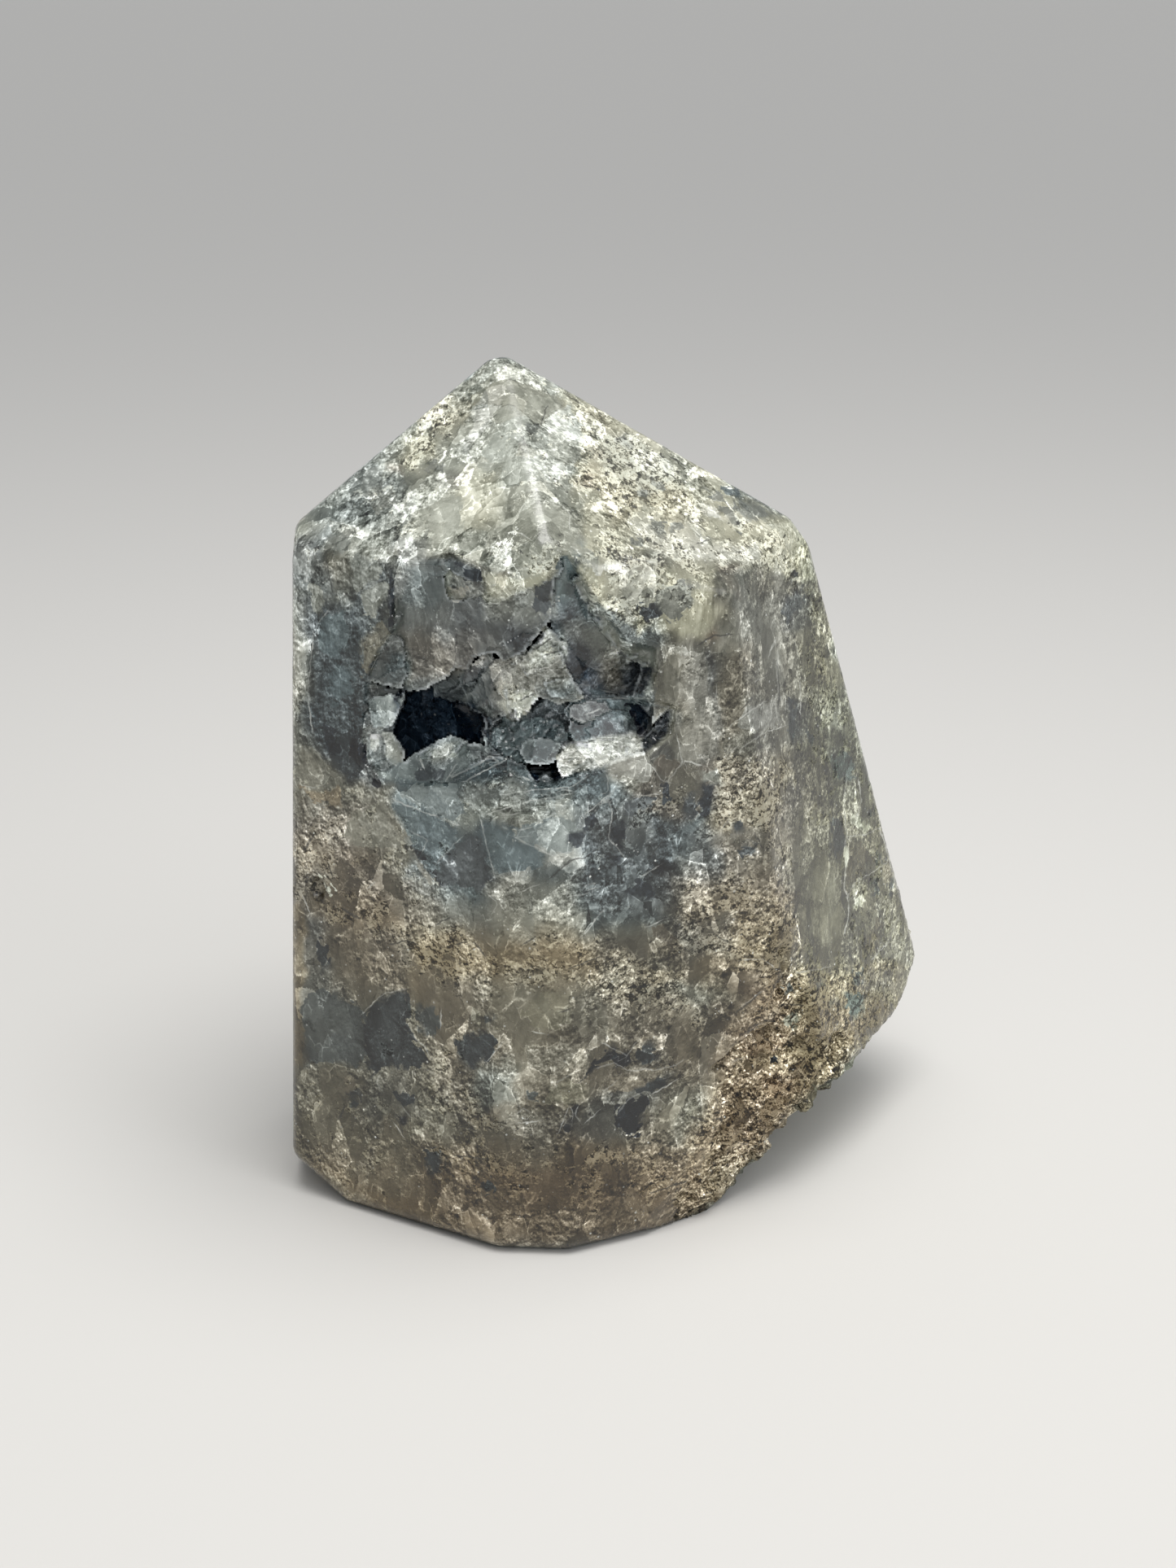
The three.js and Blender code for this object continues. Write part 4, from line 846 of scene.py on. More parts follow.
# %% The whole body painted
HIDDEN_SEED = 7
HIDDEN_COLOURS = ["slate", "mist", "mist", "teal", "ice", "ice", "milk", "milk", "mid grey", "pale grey", "green grey", "stone"]
ZONE_SIZE = 34 * MM
LAYER_SWAY = 22 * MM
LAYERS = [("stone", 0), ("green grey", 14), ("mid grey", 34), ("green grey", 50), ("tan", 58), ("tan", 66), ("mid grey", 76), ("mist", 90), ("mist", 112), ("mid grey", 128), ("pale grey", 150)]


def slow_noise(points, size, shift):
    return np.array([noise.noise(Vector(p) / size + Vector((shift, 0, 0))) for p in points])


def hidden_ground(points, normals):
    """The ground colour where the photograph shows nothing. It goes on with the layers that the front shows."""
    top = ramp(normals[:, 2], 0.1, 0.6)[:, None]
    level = points[:, 2] + LAYER_SWAY * slow_noise(points, ZONE_SIZE, 91)
    layers = np.array([PAINT[name] for name, _ in LAYERS])
    ground = np.stack([np.interp(level, [at * MM for _, at in LAYERS], part) for part in layers.T], 1)
    ground = ground * (1 - top) + PAINT["chalk"] * top
    for colour, shift, low, high, strength in [("slate", 3, .05, .32, .45), ("stone", 11, .0, .3, .4), ("tan", 23, .15, .35, .5), ("milk", 41, .12, .34, .6), ("ice", 67, .0, .3, .5), ("teal", 83, .15, .35, .5)]:
        amount = ramp(slow_noise(points, ZONE_SIZE, shift), low, high)[:, None] * strength
        lighter = 1 + 1.7 * top
        ground = ground + (PAINT[colour] * lighter - ground) * amount
    return ground


def hidden_windows(points, normals, edge, colour, calm, dice):
    """Random windows on the flat facets that face away from the camera."""
    for plane in facets:
        normal = np.array(plane["normal"])
        if normal @ (CAMERA_PLACE - normal * plane["distance"]) > 0 or normal[2] < -0.9:
            continue
        on_plane = np.nonzero(normals @ normal > 0.97)[0]
        across = np.cross(normal, (0, 0, 1))
        across /= np.linalg.norm(across)
        flat = np.stack([points[on_plane] @ across, points[on_plane] @ np.cross(across, normal)], 1) / PIXEL
        for _ in range(int(plane["area"] / (120 * MM * MM))):
            middle = flat[dice.integers(len(flat))]
            reach = dice.uniform(10, 34) * (1 if dice.random() < 0.75 else 1.9)
            turns = np.sort(dice.uniform(0, 2 * math.pi, dice.integers(5, 8)))
            shape = np.stack([np.cos(turns), np.sin(turns) * dice.uniform(0.45, 1)], 1) * dice.uniform(0.75, 1.1, (len(turns), 1))
            lean = dice.uniform(0, math.pi)
            spin = np.array([[math.cos(lean), -math.sin(lean)], [math.sin(lean), math.cos(lean)]])
            outline = middle + shape * reach @ spin.T
            name = HIDDEN_COLOURS[dice.integers(len(HIDDEN_COLOURS))]
            here = near_box(flat, outline, 30)
            depth = inside_by(flat[here], outline)
            won = here[depth > edge[on_plane[here]]]
            edge[on_plane[won]] = inside_by(flat[won], outline)
            colour[on_plane[won]] = PAINT[name] * (1 + 1.3 * max(normal[2], 0))
            calm[on_plane[won]] = dice.uniform(0.5, 0.9)


def showing(points, normals):
    """1 where the surface faces the camera, fading to 0 where it turns away."""
    towards = CAMERA_PLACE - points
    towards /= np.linalg.norm(towards, axis=1)[:, None]
    return ramp((normals * towards).sum(1), 0.02, 0.16)


def warm_bounce_and_green_tint(spots):
    """The foot is painted browner, a painted warm bounce light, and the right face is tinted greenish."""
    foot, right = ramp(spots[:, 1], 1060, 1190), ramp(spots[:, 0], 955, 1010)
    return 1 + np.outer(np.maximum(foot - right, 0), (0.02, -0.005, -0.09)) + np.outer(right, (-0.01, 0.01, -0.13))


# Painted light: where little sky reaches, the paint is made lighter, by at most five times where the share is least.
POCKET_SHADE = 22 * MM
LEAST_SHARE = 0.2


def paint_of(points, normals, weight, ground, share, zones, marks, white, dark, sand, mosaic, fibre, upright, plain_sand, plain_mosaic, hidden=False):
    """What the markings say at each point, as columns by name. The materials read them as attributes."""
    spots = photo_pixels(points)
    uneven = wandered(spots)
    soft_patches(ground, uneven, weight, zones)
    edge, colour, calm = cut_marks(spots, weight, marks)
    if hidden:
        hidden_windows(points, normals, edge, colour, calm, np.random.default_rng(HIDDEN_SEED))
    # Painted light: the paint is divided by the share of sky at each place, so the pocket and the hollow are painted
    # lighter in their shade, standing in for light that the translucent crystal lets in.
    share = np.maximum(share, LEAST_SHARE)[:, None]
    light = light_on(normals)[:, None] * share
    bounce_and_tint = warm_bounce_and_green_tint(spots)
    paint = {"ground": without_light(ground * bounce_and_tint, light, share), "mark_colour": without_light(colour * bounce_and_tint, light, share),
             "mark_edge": edge * PIXEL / MM, "mark_calm": calm}
    for name, strokes in (("white", white), ("dark", dark)):
        side, width = drawn_lines(spots, weight, strokes)
        paint[name + "_side"], paint[name + "_width"] = side * PIXEL / MM, width * PIXEL / MM / 2
    for name, patches, plain in (("sand", sand, plain_sand), ("mosaic", mosaic, plain_mosaic), ("fibre", fibre, 0.0), ("upright", upright, 0.2 if hidden else 0.0)):
        patches = [(value, feather * 1.8, outline) for value, feather, outline in patches]
        values = plain + 0.22 * slow_noise(points, 22 * MM, 57 if name == "sand" else 71) if plain else np.zeros(len(points))
        soft_mask(values, uneven, weight, patches)
        paint[name] = np.clip(values, 0, 1)
    return paint


def put_paint(mesh, paint):
    for name, values in paint.items():
        (put_colour if values.ndim == 2 else put_mask)(mesh, name, values)


stone_points = places(stone.data)
stone_depth = depth_below(stone_points)
in_broken_side = (stone_points[:, 0] > 12 * MM) & (stone_points[:, 2] < 78 * MM)
put_mask(stone.data, "broken", ramp(stone_depth, 0.15 * MM, 0.9 * MM) * in_broken_side)
put_mask(stone.data, "rim", ramp(stone_depth, 0.1 * MM, 0.5 * MM) * (stone_points[:, 2] > 86 * MM))
stone_turned = directions(stone.data)
BODY_KIT = (BODY_ZONES, BODY_MARKS, WHITE_STROKES, DARK_STROKES, SAND_ZONES, MOSAIC_ZONES, FIBRE_ZONES, UPRIGHT_ZONES, .2, .6)
# The stone's hollow walls are painted lighter the deeper they lie: painted light.
stone_share = np.exp(-np.clip(stone_depth, 0, 1) / POCKET_SHADE)
put_paint(stone.data, paint_of(stone_points, stone_turned, showing(stone_points, stone_turned), hidden_ground(stone_points, stone_turned), stone_share, *BODY_KIT, True))
print("painted vertices:", len(stone.data.vertices))

# %% [markdown]
# The broken side has real relief: chips, steps and sandy grains. A Geometry Nodes tree moves its vertices along their
# normals by two sizes of angular cells, as strongly as the mask says. The polished side gets only a few shallow pits
# where the sandy matrix crumbled away.

# %% Relief tree


def tree_for_geometry(name, inputs):
    tree = bpy.data.node_groups.new(name, "GeometryNodeTree")
    tree.interface.new_socket("Geometry", in_out="INPUT", socket_type="NodeSocketGeometry")
    for socket, (kind, value) in inputs.items():
        tree.interface.new_socket(socket, in_out="INPUT", socket_type=kind).default_value = value
    tree.interface.new_socket("Geometry", in_out="OUTPUT", socket_type="NodeSocketGeometry")
    return tree


class Bench:
    """Puts nodes into one tree and links them. A socket is fed with a value or with another node's output."""

    def __init__(self, tree):
        self.tree = tree

    def put(self, kind, feeds=None, **settings):
        node = self.tree.nodes.new(kind)
        for name, value in settings.items():
            setattr(node, name, value)
        for socket, value in (feeds or {}).items():
            if isinstance(value, bpy.types.NodeSocket):
                self.tree.links.new(value, node.inputs[socket])
            else:
                node.inputs[socket].default_value = value
        return node

    def math(self, operation, a, b=0.0):
        return self.put("ShaderNodeMath", {0: a, 1: b}, operation=operation).outputs[0]

    def vector(self, operation, a, b=(0, 0, 0)):
        return self.put("ShaderNodeVectorMath", {0: a, 1: b}, operation=operation).outputs[0]

    def scaled(self, a, factor):
        return self.put("ShaderNodeVectorMath", {0: a, "Scale": factor}, operation="SCALE").outputs[0]

    def step(self, value, low, high):
        feeds = {"Value": value, "From Min": low, "From Max": high}
        return self.put("ShaderNodeMapRange", feeds, interpolation_type="SMOOTHSTEP").outputs[0]

    def mix(self, factor, a, b, mode="MIX"):
        return self.put("ShaderNodeMix", {0: factor, 6: a, 7: b}, data_type="RGBA", blend_type=mode).outputs[2]

    def noise(self, at, scale, detail=3.0, roughness=0.55):
        feeds = {"Vector": at, "Scale": scale, "Detail": detail, "Roughness": roughness}
        return self.put("ShaderNodeTexNoise", feeds)

    def cells(self, at, scale, feature="F1", randomness=1.0, distance="EUCLIDEAN"):
        feeds = {"Vector": at, "Scale": scale, "Randomness": randomness}
        return self.put("ShaderNodeTexVoronoi", feeds, feature=feature, distance=distance)


relief = tree_for_geometry("relief of the broken side", {
    "Chip Size": ("NodeSocketFloat", 4.2 * MM), "Chip Height": ("NodeSocketFloat", 1.8 * MM),
    "Grain Size": ("NodeSocketFloat", 1.5 * MM), "Grain Height": ("NodeSocketFloat", 0.8 * MM), "Pit Depth": ("NodeSocketFloat", 0.35 * MM)})
bench = Bench(relief)
given = relief.nodes.new("NodeGroupInput").outputs


def read_mask(name):
    return bench.put("GeometryNodeInputNamedAttribute", {"Name": name}, data_type="FLOAT").outputs["Attribute"]


where = bench.put("GeometryNodeInputPosition").outputs[0]
bent = bench.vector("ADD", where, bench.scaled(bench.vector("SUBTRACT", bench.noise(where, 260.0).outputs["Color"], (0.5, 0.5, 0.5)), 2.4 * MM))
chip = bench.cells(bent, bench.math("DIVIDE", 1.0, given["Chip Size"]))
tilt = bench.put("ShaderNodeVectorMath", {0: bench.vector("SUBTRACT", bent, chip.outputs["Position"]), 1: bench.vector("SUBTRACT", chip.outputs["Color"], (0.5, 0.5, 0.5))}, operation="DOT_PRODUCT").outputs["Value"]
chip_rise = bench.math("ADD", bench.math("SUBTRACT", bench.put("ShaderNodeSeparateXYZ", {0: chip.outputs["Color"]}).outputs[0], 0.8), bench.math("MULTIPLY", tilt, 180.0))
grain = bench.cells(bent, bench.math("DIVIDE", 1.0, given["Grain Size"]))
grain_rise = bench.math("SUBTRACT", bench.put("ShaderNodeSeparateXYZ", {0: grain.outputs["Color"]}).outputs[1], 0.6)
rough_rise = bench.math("ADD", bench.math("MULTIPLY", chip_rise, given["Chip Height"]), bench.math("MULTIPLY", grain_rise, given["Grain Height"]))
pits = bench.math("MULTIPLY", bench.step(bench.noise(where, 420.0, 2.0).outputs["Fac"], 0.62, 0.72), bench.step(read_mask("sand"), 0.45, 0.75))
rise = bench.math("SUBTRACT", bench.math("MULTIPLY", rough_rise, read_mask("broken")), bench.math("MULTIPLY", pits, given["Pit Depth"]))
normal = bench.put("GeometryNodeInputNormal").outputs[0]
moved = bench.put("GeometryNodeSetPosition", {"Geometry": given["Geometry"], "Offset": bench.scaled(normal, rise)})
solid = bench.put("GeometryNodeRealizeInstances", {"Geometry": moved.outputs[0]})

# %% [markdown]
# The tree ends in Realize Instances and Set Material. Its result is made a plain mesh, and no vertex may leave the box
# of the exact solid.

# %% Relief applied
stone_finish = bpy.data.materials.new("polished celestite")
finished = bench.put("GeometryNodeSetMaterial", {"Geometry": solid.outputs[0], "Material": stone_finish})
relief.links.new(finished.outputs[0], relief.nodes.new("NodeGroupOutput").inputs["Geometry"])


def geometry_nodes(piece, tree, values=None):
    """Adds the tree as a modifier, sets its inputs and bakes the result."""
    modifier = piece.modifiers.new(tree.name, "NODES")
    modifier.node_group = tree
    for item in tree.interface.items_tree:
        if item.in_out == "INPUT" and values and item.name in values:
            modifier[item.identifier] = values[item.name]
    return baked(piece)


def kept_in_box(mesh, low, high):
    put_places(mesh, np.clip(places(mesh), np.array(low), np.array(high)))


geometry_nodes(stone, relief, {"Chip Size": 4.4 * MM, "Chip Height": 1.8 * MM})
kept_in_box(stone.data, *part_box("stone"))
stone.data.shade_smooth()
print("stone:", len(stone.data.polygons), "faces after the relief")

# %% [markdown]
# The pocket is the heart of the piece: broken crystal faces at many depths, seen through the mouth. A lining like that
# is easiest to carve as a relief. Lines run from the camera through a fine grid of photograph pixels, and each net
# point lies on its line, so deep behind the polished planes as the crystal face that shows there. A face is a plane,
# given by three depths, inside a given outline. Later faces lie over earlier ones.

# %% Lines through the photograph
ACROSS = np.array([1.0, 0.0, 0.0])
GRID_STEP = 1.8
GRID_FROM, GRID_TO = (436, 664), (850, 986)
JOINT = 0.7 * MM


def lines_through(pixels):
    x = (pixels[:, 0] - PHOTO_SIZE[0] / 2) / FOCAL_PIXELS
    y = (PHOTO_SIZE[1] / 2 - pixels[:, 1]) / FOCAL_PIXELS
    lines = AHEAD + x[:, None] * ACROSS + y[:, None] * ABOVE
    return lines / np.linalg.norm(lines, axis=1)[:, None]


def reach_of_facets(lines):
    """How far the polished planes are from the camera along each line."""
    normals = np.array([p["normal"] for p in facets])
    distances = np.array([p["distance"] for p in facets])
    facing = lines @ normals.T
    reach = (distances - CAMERA_PLACE @ normals.T) / np.minimum(facing, -1e-6)
    return np.where(facing < -1e-4, reach, -1).max(1)


def smeared(values, cells):
    """The mean over a square of the grid around each point."""
    padded = np.pad(values.reshape(high, wide), cells, mode="edge")
    total_area = np.cumsum(np.cumsum(np.pad(padded, ((1, 0), (1, 0))), 0), 1)
    side = 2 * cells + 1
    return ((total_area[side:, side:] - total_area[:-side, side:] - total_area[side:, :-side] + total_area[:-side, :-side]) / side ** 2).ravel()


def cells_into(mask, most):
    """How many cells deep each grid point lies inside the mask, up to a limit."""
    left = mask.reshape(high, wide)
    count = np.zeros(left.shape)
    for _ in range(most):
        count += left
        padded = np.pad(left, 1, mode="edge")
        left = left & padded[:-2, 1:-1] & padded[2:, 1:-1] & padded[1:-1, :-2] & padded[1:-1, 2:]
    return count.ravel()


columns = np.arange(GRID_FROM[0], GRID_TO[0], GRID_STEP)
rows = np.arange(GRID_FROM[1], GRID_TO[1], GRID_STEP)
high, wide = len(rows), len(columns)
grid = np.stack(np.meshgrid(columns, rows), 2).reshape(-1, 2)
lines = lines_through(grid)
polished_at = reach_of_facets(lines)
stone_tree = BVHTree.FromPolygons([v.co for v in exact_stone.vertices], [p.vertices for p in exact_stone.polygons])
room = np.array([stone_tree.ray_cast(Vector(CAMERA_PLACE), Vector(line))[3] for line in lines]) - polished_at
in_mouth = room > 1.3 * MM
print("grid:", len(rows), "x", len(columns), "points,", int(in_mouth.sum()), "of them in the mouth")

# %% [markdown]
# Each face has its colour, three places in pixels with a depth in millimetres, how far its edge frays in pixels, the
# size in millimetres and the tilt of the small broken facets that cover it, and its outline.

# %% Crystal faces of the pocket
POCKET_FACES = {
    "hole": ("blue black", [(500, 700, 22), (800, 700, 20), (600, 980, 22)], 0, (5, .3), [(430, 660), (860, 660), (860, 990), (430, 990)]),
    "far wall": ("slate", [(540, 830, 12), (600, 810, 8), (560, 880, 17)], 4, (3.5, .4), [(528, 842), (560, 822), (605, 800), (612, 850), (590, 872), (560, 862), (530, 856)]),
    "right window": ("slate", [(700, 680, 2.6), (690, 850, 12), (795, 850, 12.5)], 2, (16, .05), [(679, 690), (690, 660), (715, 670), (724, 705), (735, 740), (752, 765), (780, 790), (808, 812), (806, 864), (700, 866), (690, 830), (676, 770)]),
    "window step": ("dark slate", [(690, 790, 9.5), (730, 852, 12), (800, 830, 13)], 5, (5, .16), [(684, 786), (700, 790), (712, 812), (740, 828), (770, 812), (806, 815), (806, 864), (700, 864), (690, 830)]),
    "hanging slab": ("mist", [(482, 700, .3), (670, 706, .5), (580, 820, 4.6)], 3, (9, .045), [(430, 660), (690, 660), (690, 704), (682, 712), (680, 735), (677, 765), (668, 772), (660, 786), (650, 794), (638, 807), (628, 814), (618, 811), (608, 803), (596, 806), (584, 808), (580, 816), (576, 824), (560, 824), (552, 832), (540, 838), (528, 846), (514, 850), (500, 850), (492, 848), (480, 840), (470, 838), (430, 832)]),
    "slab step": ("pale grey", [(560, 690, 1.2), (590, 700, .6), (590, 740, 2.2)], 4, (2.2, .35), [(545, 706), (580, 698), (600, 690), (640, 700), (680, 700), (672, 716), (640, 730), (622, 742), (600, 744), (586, 735), (560, 738), (548, 728)]),
    "slab notch": ("slate", [(550, 690, .8), (592, 700, 1.5), (570, 716, .9)], 2, (5, .1), [(540, 676), (560, 682), (600, 697), (596, 716), (576, 714), (560, 706), (546, 694)]),
    "slab flank": ("mist", [(440, 830, .2), (500, 800, 3.0), (480, 845, 2.0)], 4, (4, .15), [(430, 820), (456, 812), (472, 794), (484, 776), (496, 790), (500, 830), (494, 849), (470, 842), (430, 836)]),
    "fringe": ("mid grey", [(715, 715, .8), (800, 800, 2.6), (740, 770, 4.5)], 6, (1.6, .8), [(702, 712), (724, 700), (748, 732), (778, 766), (806, 786), (812, 818), (796, 822), (782, 810), (770, 818), (764, 800), (748, 788), (736, 768), (724, 752), (716, 738), (706, 726)]),
    "left back": ("mist", [(442, 850, .4), (500, 850, 5), (450, 960, .3)], 3, (2.6, .35), [(436, 836), (498, 848), (500, 858), (490, 880), (484, 896), (490, 910), (498, 934), (480, 962), (436, 962)]),
    "rim block": ("ice", [(455, 860, .5), (495, 860, 1.6), (465, 893, .5)], 1.2, (8, .06), [(453, 862), (460, 856), (470, 856), (478, 852), (490, 856), (497, 860), (490, 875), (483, 893), (475, 895), (460, 895), (454, 885)]),
    "rim column": ("mid grey", [(480, 900, 2.4), (496, 922, 3.2), (480, 938, 1.2)], 1.5, (7, .08), [(470, 900), (482, 898), (489, 908), (497, 922), (497, 936), (484, 944), (472, 930)]),
    # A painted glint: the small upturned facet is painted white where it catches the light.
    "rim facet with painted glint": ("white", [(455, 905, 2.8), (467, 905, 3.0), (460, 922, 1.0)], 1.2, (6, .1), [(454, 903), (468, 902), (466, 914), (462, 924), (455, 920)]),
    "floor back": ("slate", [(620, 880, 10), (700, 880, 9.5), (660, 935, 5)], 4, (2.4, .6), [(596, 872), (622, 862), (704, 856), (806, 852), (806, 915), (700, 925), (640, 942), (600, 925), (590, 900)]),
    "glass slab": ("teal", [(700, 862, 8.5), (795, 862, 10), (740, 907, 6)], 2, (7, .1), [(690, 872), (700, 863), (722, 858), (760, 858), (802, 855), (797, 874), (784, 884), (782, 905), (740, 909), (706, 912), (696, 902), (700, 888)]),
    "glass tongue": ("mist", [(700, 866, 7.6), (746, 864, 8), (715, 889, 6.4)], 2, (8, .08), [(698, 868), (722, 860), (745, 862), (750, 872), (735, 882), (714, 890), (699, 882)]),
    "left wedge face": ("mist", [(612, 830, 7), (570, 860, 14), (612, 880, 9)], 4, (2.8, .4), [(604, 806), (600, 820), (590, 832), (575, 850), (566, 860), (578, 872), (600, 882), (620, 882), (632, 866), (618, 840)]),
    "wedge": ("milk", [(676, 772, 6), (606, 812, 6.8), (700, 858, 6.6)], 2.5, (5, .14), [(674, 768), (684, 780), (690, 788), (688, 796), (694, 806), (696, 818), (703, 830), (711, 844), (719, 858), (700, 862), (684, 866), (664, 857), (652, 866), (646, 878), (636, 880), (632, 868), (622, 864), (612, 850), (603, 835), (601, 820), (606, 808), (620, 813), (636, 806), (650, 795), (660, 785), (668, 772)]),
    "wedge crest": ("milk", [(676, 772, 5.4), (640, 806, 5.6), (690, 815, 5.8)], 3, (1.6, .4), [(672, 770), (682, 778), (692, 790), (680, 794), (692, 802), (688, 808), (698, 820), (680, 822), (662, 826), (648, 832), (638, 820), (646, 800), (662, 788)]),
    "wedge flake": ("mid grey", [(668, 838, 5.2), (716, 852, 5.6), (690, 860, 5.4)], 2, (6, .1), [(666, 838), (700, 832), (717, 852), (702, 861), (676, 856)]),
    "wedge tips": ("chalk", [(620, 850, 5.8), (655, 860, 5.8), (636, 886, 4.6)], 2, (1.3, .7), [(618, 848), (640, 846), (656, 852), (662, 860), (652, 868), (650, 876), (644, 874), (638, 887), (632, 884), (630, 872), (622, 870)]),
    "floor crystals": ("teal", [(620, 890, 9), (690, 890, 8), (650, 935, 4)], 3, (1.9, .7), [(604, 896), (620, 882), (640, 888), (660, 880), (690, 888), (700, 905), (684, 922), (682, 936), (648, 940), (622, 930), (604, 915)]),
    "floor shard": ("ice", [(640, 905, 5.5), (690, 912, 5), (655, 940, 2.6)], 1.5, (9, .1), [(636, 924), (644, 910), (664, 906), (690, 912), (684, 930), (682, 938), (664, 942), (646, 938)]),
    "small hole": ("blue black", [(650, 945, 13), (684, 945, 13), (665, 968, 12)], 1, (6, .1), [(646, 940), (662, 943), (682, 940), (682, 955), (684, 968), (656, 970), (658, 958)]),
    "small hole face": ("slate", [(664, 950, 7), (680, 944, 9), (670, 967, 5)], 1, (7, .1), [(662, 954), (676, 944), (681, 966), (662, 967)]),
    "ledge": ("white", [(690, 930, 4.4), (790, 910, 5.6), (715, 948, .8)], 2, (1.5, .55), [(683, 942), (684, 930), (692, 922), (704, 912), (720, 914), (738, 908), (770, 907), (791, 907), (793, 917), (775, 924), (752, 932), (738, 942), (715, 948), (702, 954), (690, 956)]),
    "post flank": ("green grey", [(806, 800, 1.0), (862, 800, .1), (835, 925, .4)], 2, (6, .05), [(808, 786), (870, 770), (870, 940), (834, 930), (835, 905), (837, 880), (830, 864), (812, 880), (800, 893), (803, 862), (806, 815)]),
    "dark corner": ("dark slate", [(790, 905, 5), (830, 868, 2), (812, 918, 1.6)], 3, (1.3, .8), [(789, 926), (789, 912), (796, 898), (812, 884), (830, 862), (836, 880), (834, 905), (818, 918), (800, 928)]),
    "floor boulder": ("ice", [(500, 935, 2.6), (575, 912, 4.2), (520, 972, .3)], 3, (6, .2), [(436, 985), (440, 962), (470, 950), (488, 938), (497, 935), (515, 923), (535, 912), (545, 907), (556, 903), (562, 908), (575, 911), (590, 914), (602, 920), (616, 930), (600, 945), (580, 985)]),
    "boulder top": ("ice", [(500, 933, 3.0), (560, 905, 4.6), (540, 930, 1.8)], 2, (3, .35), [(496, 935), (515, 922), (538, 909), (556, 903), (575, 911), (562, 926), (540, 932), (516, 934)]),
    "lined shard": ("teal", [(560, 958, .6), (612, 928, 2.6), (646, 955, 1.4)], 1.5, (10, .08), [(552, 960), (580, 938), (606, 929), (618, 930), (640, 938), (646, 942), (658, 958), (660, 968), (652, 985), (540, 985)]),
    "front sill": ("ice", [(560, 985, .3), (700, 960, .3), (800, 950, .3)], 1.5, (6, .05), [(556, 985), (570, 972), (600, 974), (655, 971), (690, 966), (700, 955), (716, 948), (740, 942), (756, 932), (790, 922), (800, 930), (850, 930), (850, 986), (556, 986)]),
}


def frayed(pixels, amount, seed):
    """The pixels moved about by noise, so that an outline tested on them comes out ragged."""
    if not amount:
        return pixels
    moved = np.empty_like(pixels)
    for i, (x, y) in enumerate(pixels):
        coarse = noise.noise_vector(Vector((x / 13, y / 13, seed)))
        fine = noise.noise_vector(Vector((x / 4.5, y / 4.5, seed + 9.0)))
        moved[i] = x + amount * (coarse.x + 0.6 * fine.x), y + amount * (coarse.y + 0.6 * fine.y)
    return moved


def broken_facets(pixels, size, tilt, seed):
    """Height in metres of small broken facets. Each leans its own way, and they meet in ridges, so nothing gapes."""
    height = np.empty(len(pixels))
    scale = PIXEL / (size * MM)
    for i, (x, y) in enumerate(pixels):
        spot = Vector((x * scale + 0.35 * y * scale, y * scale, seed))
        gaps, middles = noise.voronoi(spot)
        best = -9.0
        for gap, middle in zip(gaps, middles):
            lean = noise.cell_vector(middle * 31.7)
            best = max(best, (spot - middle).dot(lean - Vector((0.5, 0.5, 0.5))) * 2.4 + (lean.z - 0.5) * 0.3 - 0.8 * gap * gap)
        height[i] = best
    return height * tilt * size * MM


depth = np.full(len(grid), 30 * MM)
face_paint = np.tile(PAINT["blue black"], (len(grid), 1))
for seed, (colour, anchors, fray, (size, tilt), outline) in enumerate(POCKET_FACES.values()):
    (low_x, low_y), (high_x, high_y) = np.min(outline, 0) - 12, np.max(outline, 0) + 12
    close = (grid[:, 0] > low_x) & (grid[:, 0] < high_x) & (grid[:, 1] > low_y) & (grid[:, 1] < high_y)
    close[close] = inside_by(frayed(grid[close], fray, seed * 3.1), outline) > 0
    a, b, c = (np.array(anchor, float) for anchor in anchors)
    tilt_x, tilt_y = np.linalg.solve([(b - a)[:2], (c - a)[:2]], [(b - a)[2], (c - a)[2]])
    plane = a[2] + (grid[close, 0] - a[0]) * tilt_x + (grid[close, 1] - a[1]) * tilt_y
    depth[close] = plane * MM + broken_facets(grid[close], size, tilt, seed * 5.3)
    face_paint[close] = PAINT[colour]
print("crystal faces carved:", len(POCKET_FACES), "deepest mm:", round(depth.max() / MM, 1))

# %% [markdown]
# The lining never goes through the stone: where the mouth's wall is nearer than a face, the lining follows the wall.
# Towards the rim it rises to the polished surface, laps a little over it by a few hundredths of a millimetre, and then
# slips under it, so the crystal runs on from the stone into the pocket without a gap. A back layer and a border close
# the net.

# %% The lining's net
BACK = 2.2 * MM
LAP, LAP_CELLS = 0.03 * MM, 5
RIM_SLOPE = 1.3
cell_size = GRID_STEP * PIXEL
rim_cells = cells_into(in_mouth, 14)
outside_cells = cells_into(~in_mouth, 10)
ragged_rim = np.array([noise.noise(Vector((x / 11, y / 11, 3.3))) for x, y in grid])
rising = cell_size * RIM_SLOPE * np.maximum(smeared(rim_cells, 1) * (1 + 0.7 * ragged_rim), 0)
rising = np.where(rim_cells > 12, 1.0, rising)
carved = np.clip(np.minimum(depth, rising), 0, np.maximum(room - 0.1 * MM, 0))
lapped = np.minimum(room, 0.05 * MM) - LAP
slipped = room + JOINT
depth = np.where(in_mouth, carved, lapped + (slipped - lapped) * ramp(outside_cells, LAP_CELLS, LAP_CELLS + 3))
front = CAMERA_PLACE + lines * (polished_at + depth)[:, None]
behind = CAMERA_PLACE + lines * (polished_at + depth + BACK)[:, None]
number = np.arange(high * wide).reshape(high, wide)
quads = np.stack([number[:-1, :-1], number[1:, :-1], number[1:, 1:], number[:-1, 1:]], 2).reshape(-1, 4)
border = np.concatenate([number[0], number[1:, -1], number[-1, -2::-1], number[-2:0:-1, 0]])
past = len(grid)
strip = np.stack([border, np.roll(border, -1), np.roll(border, -1) + past, border + past], 1)
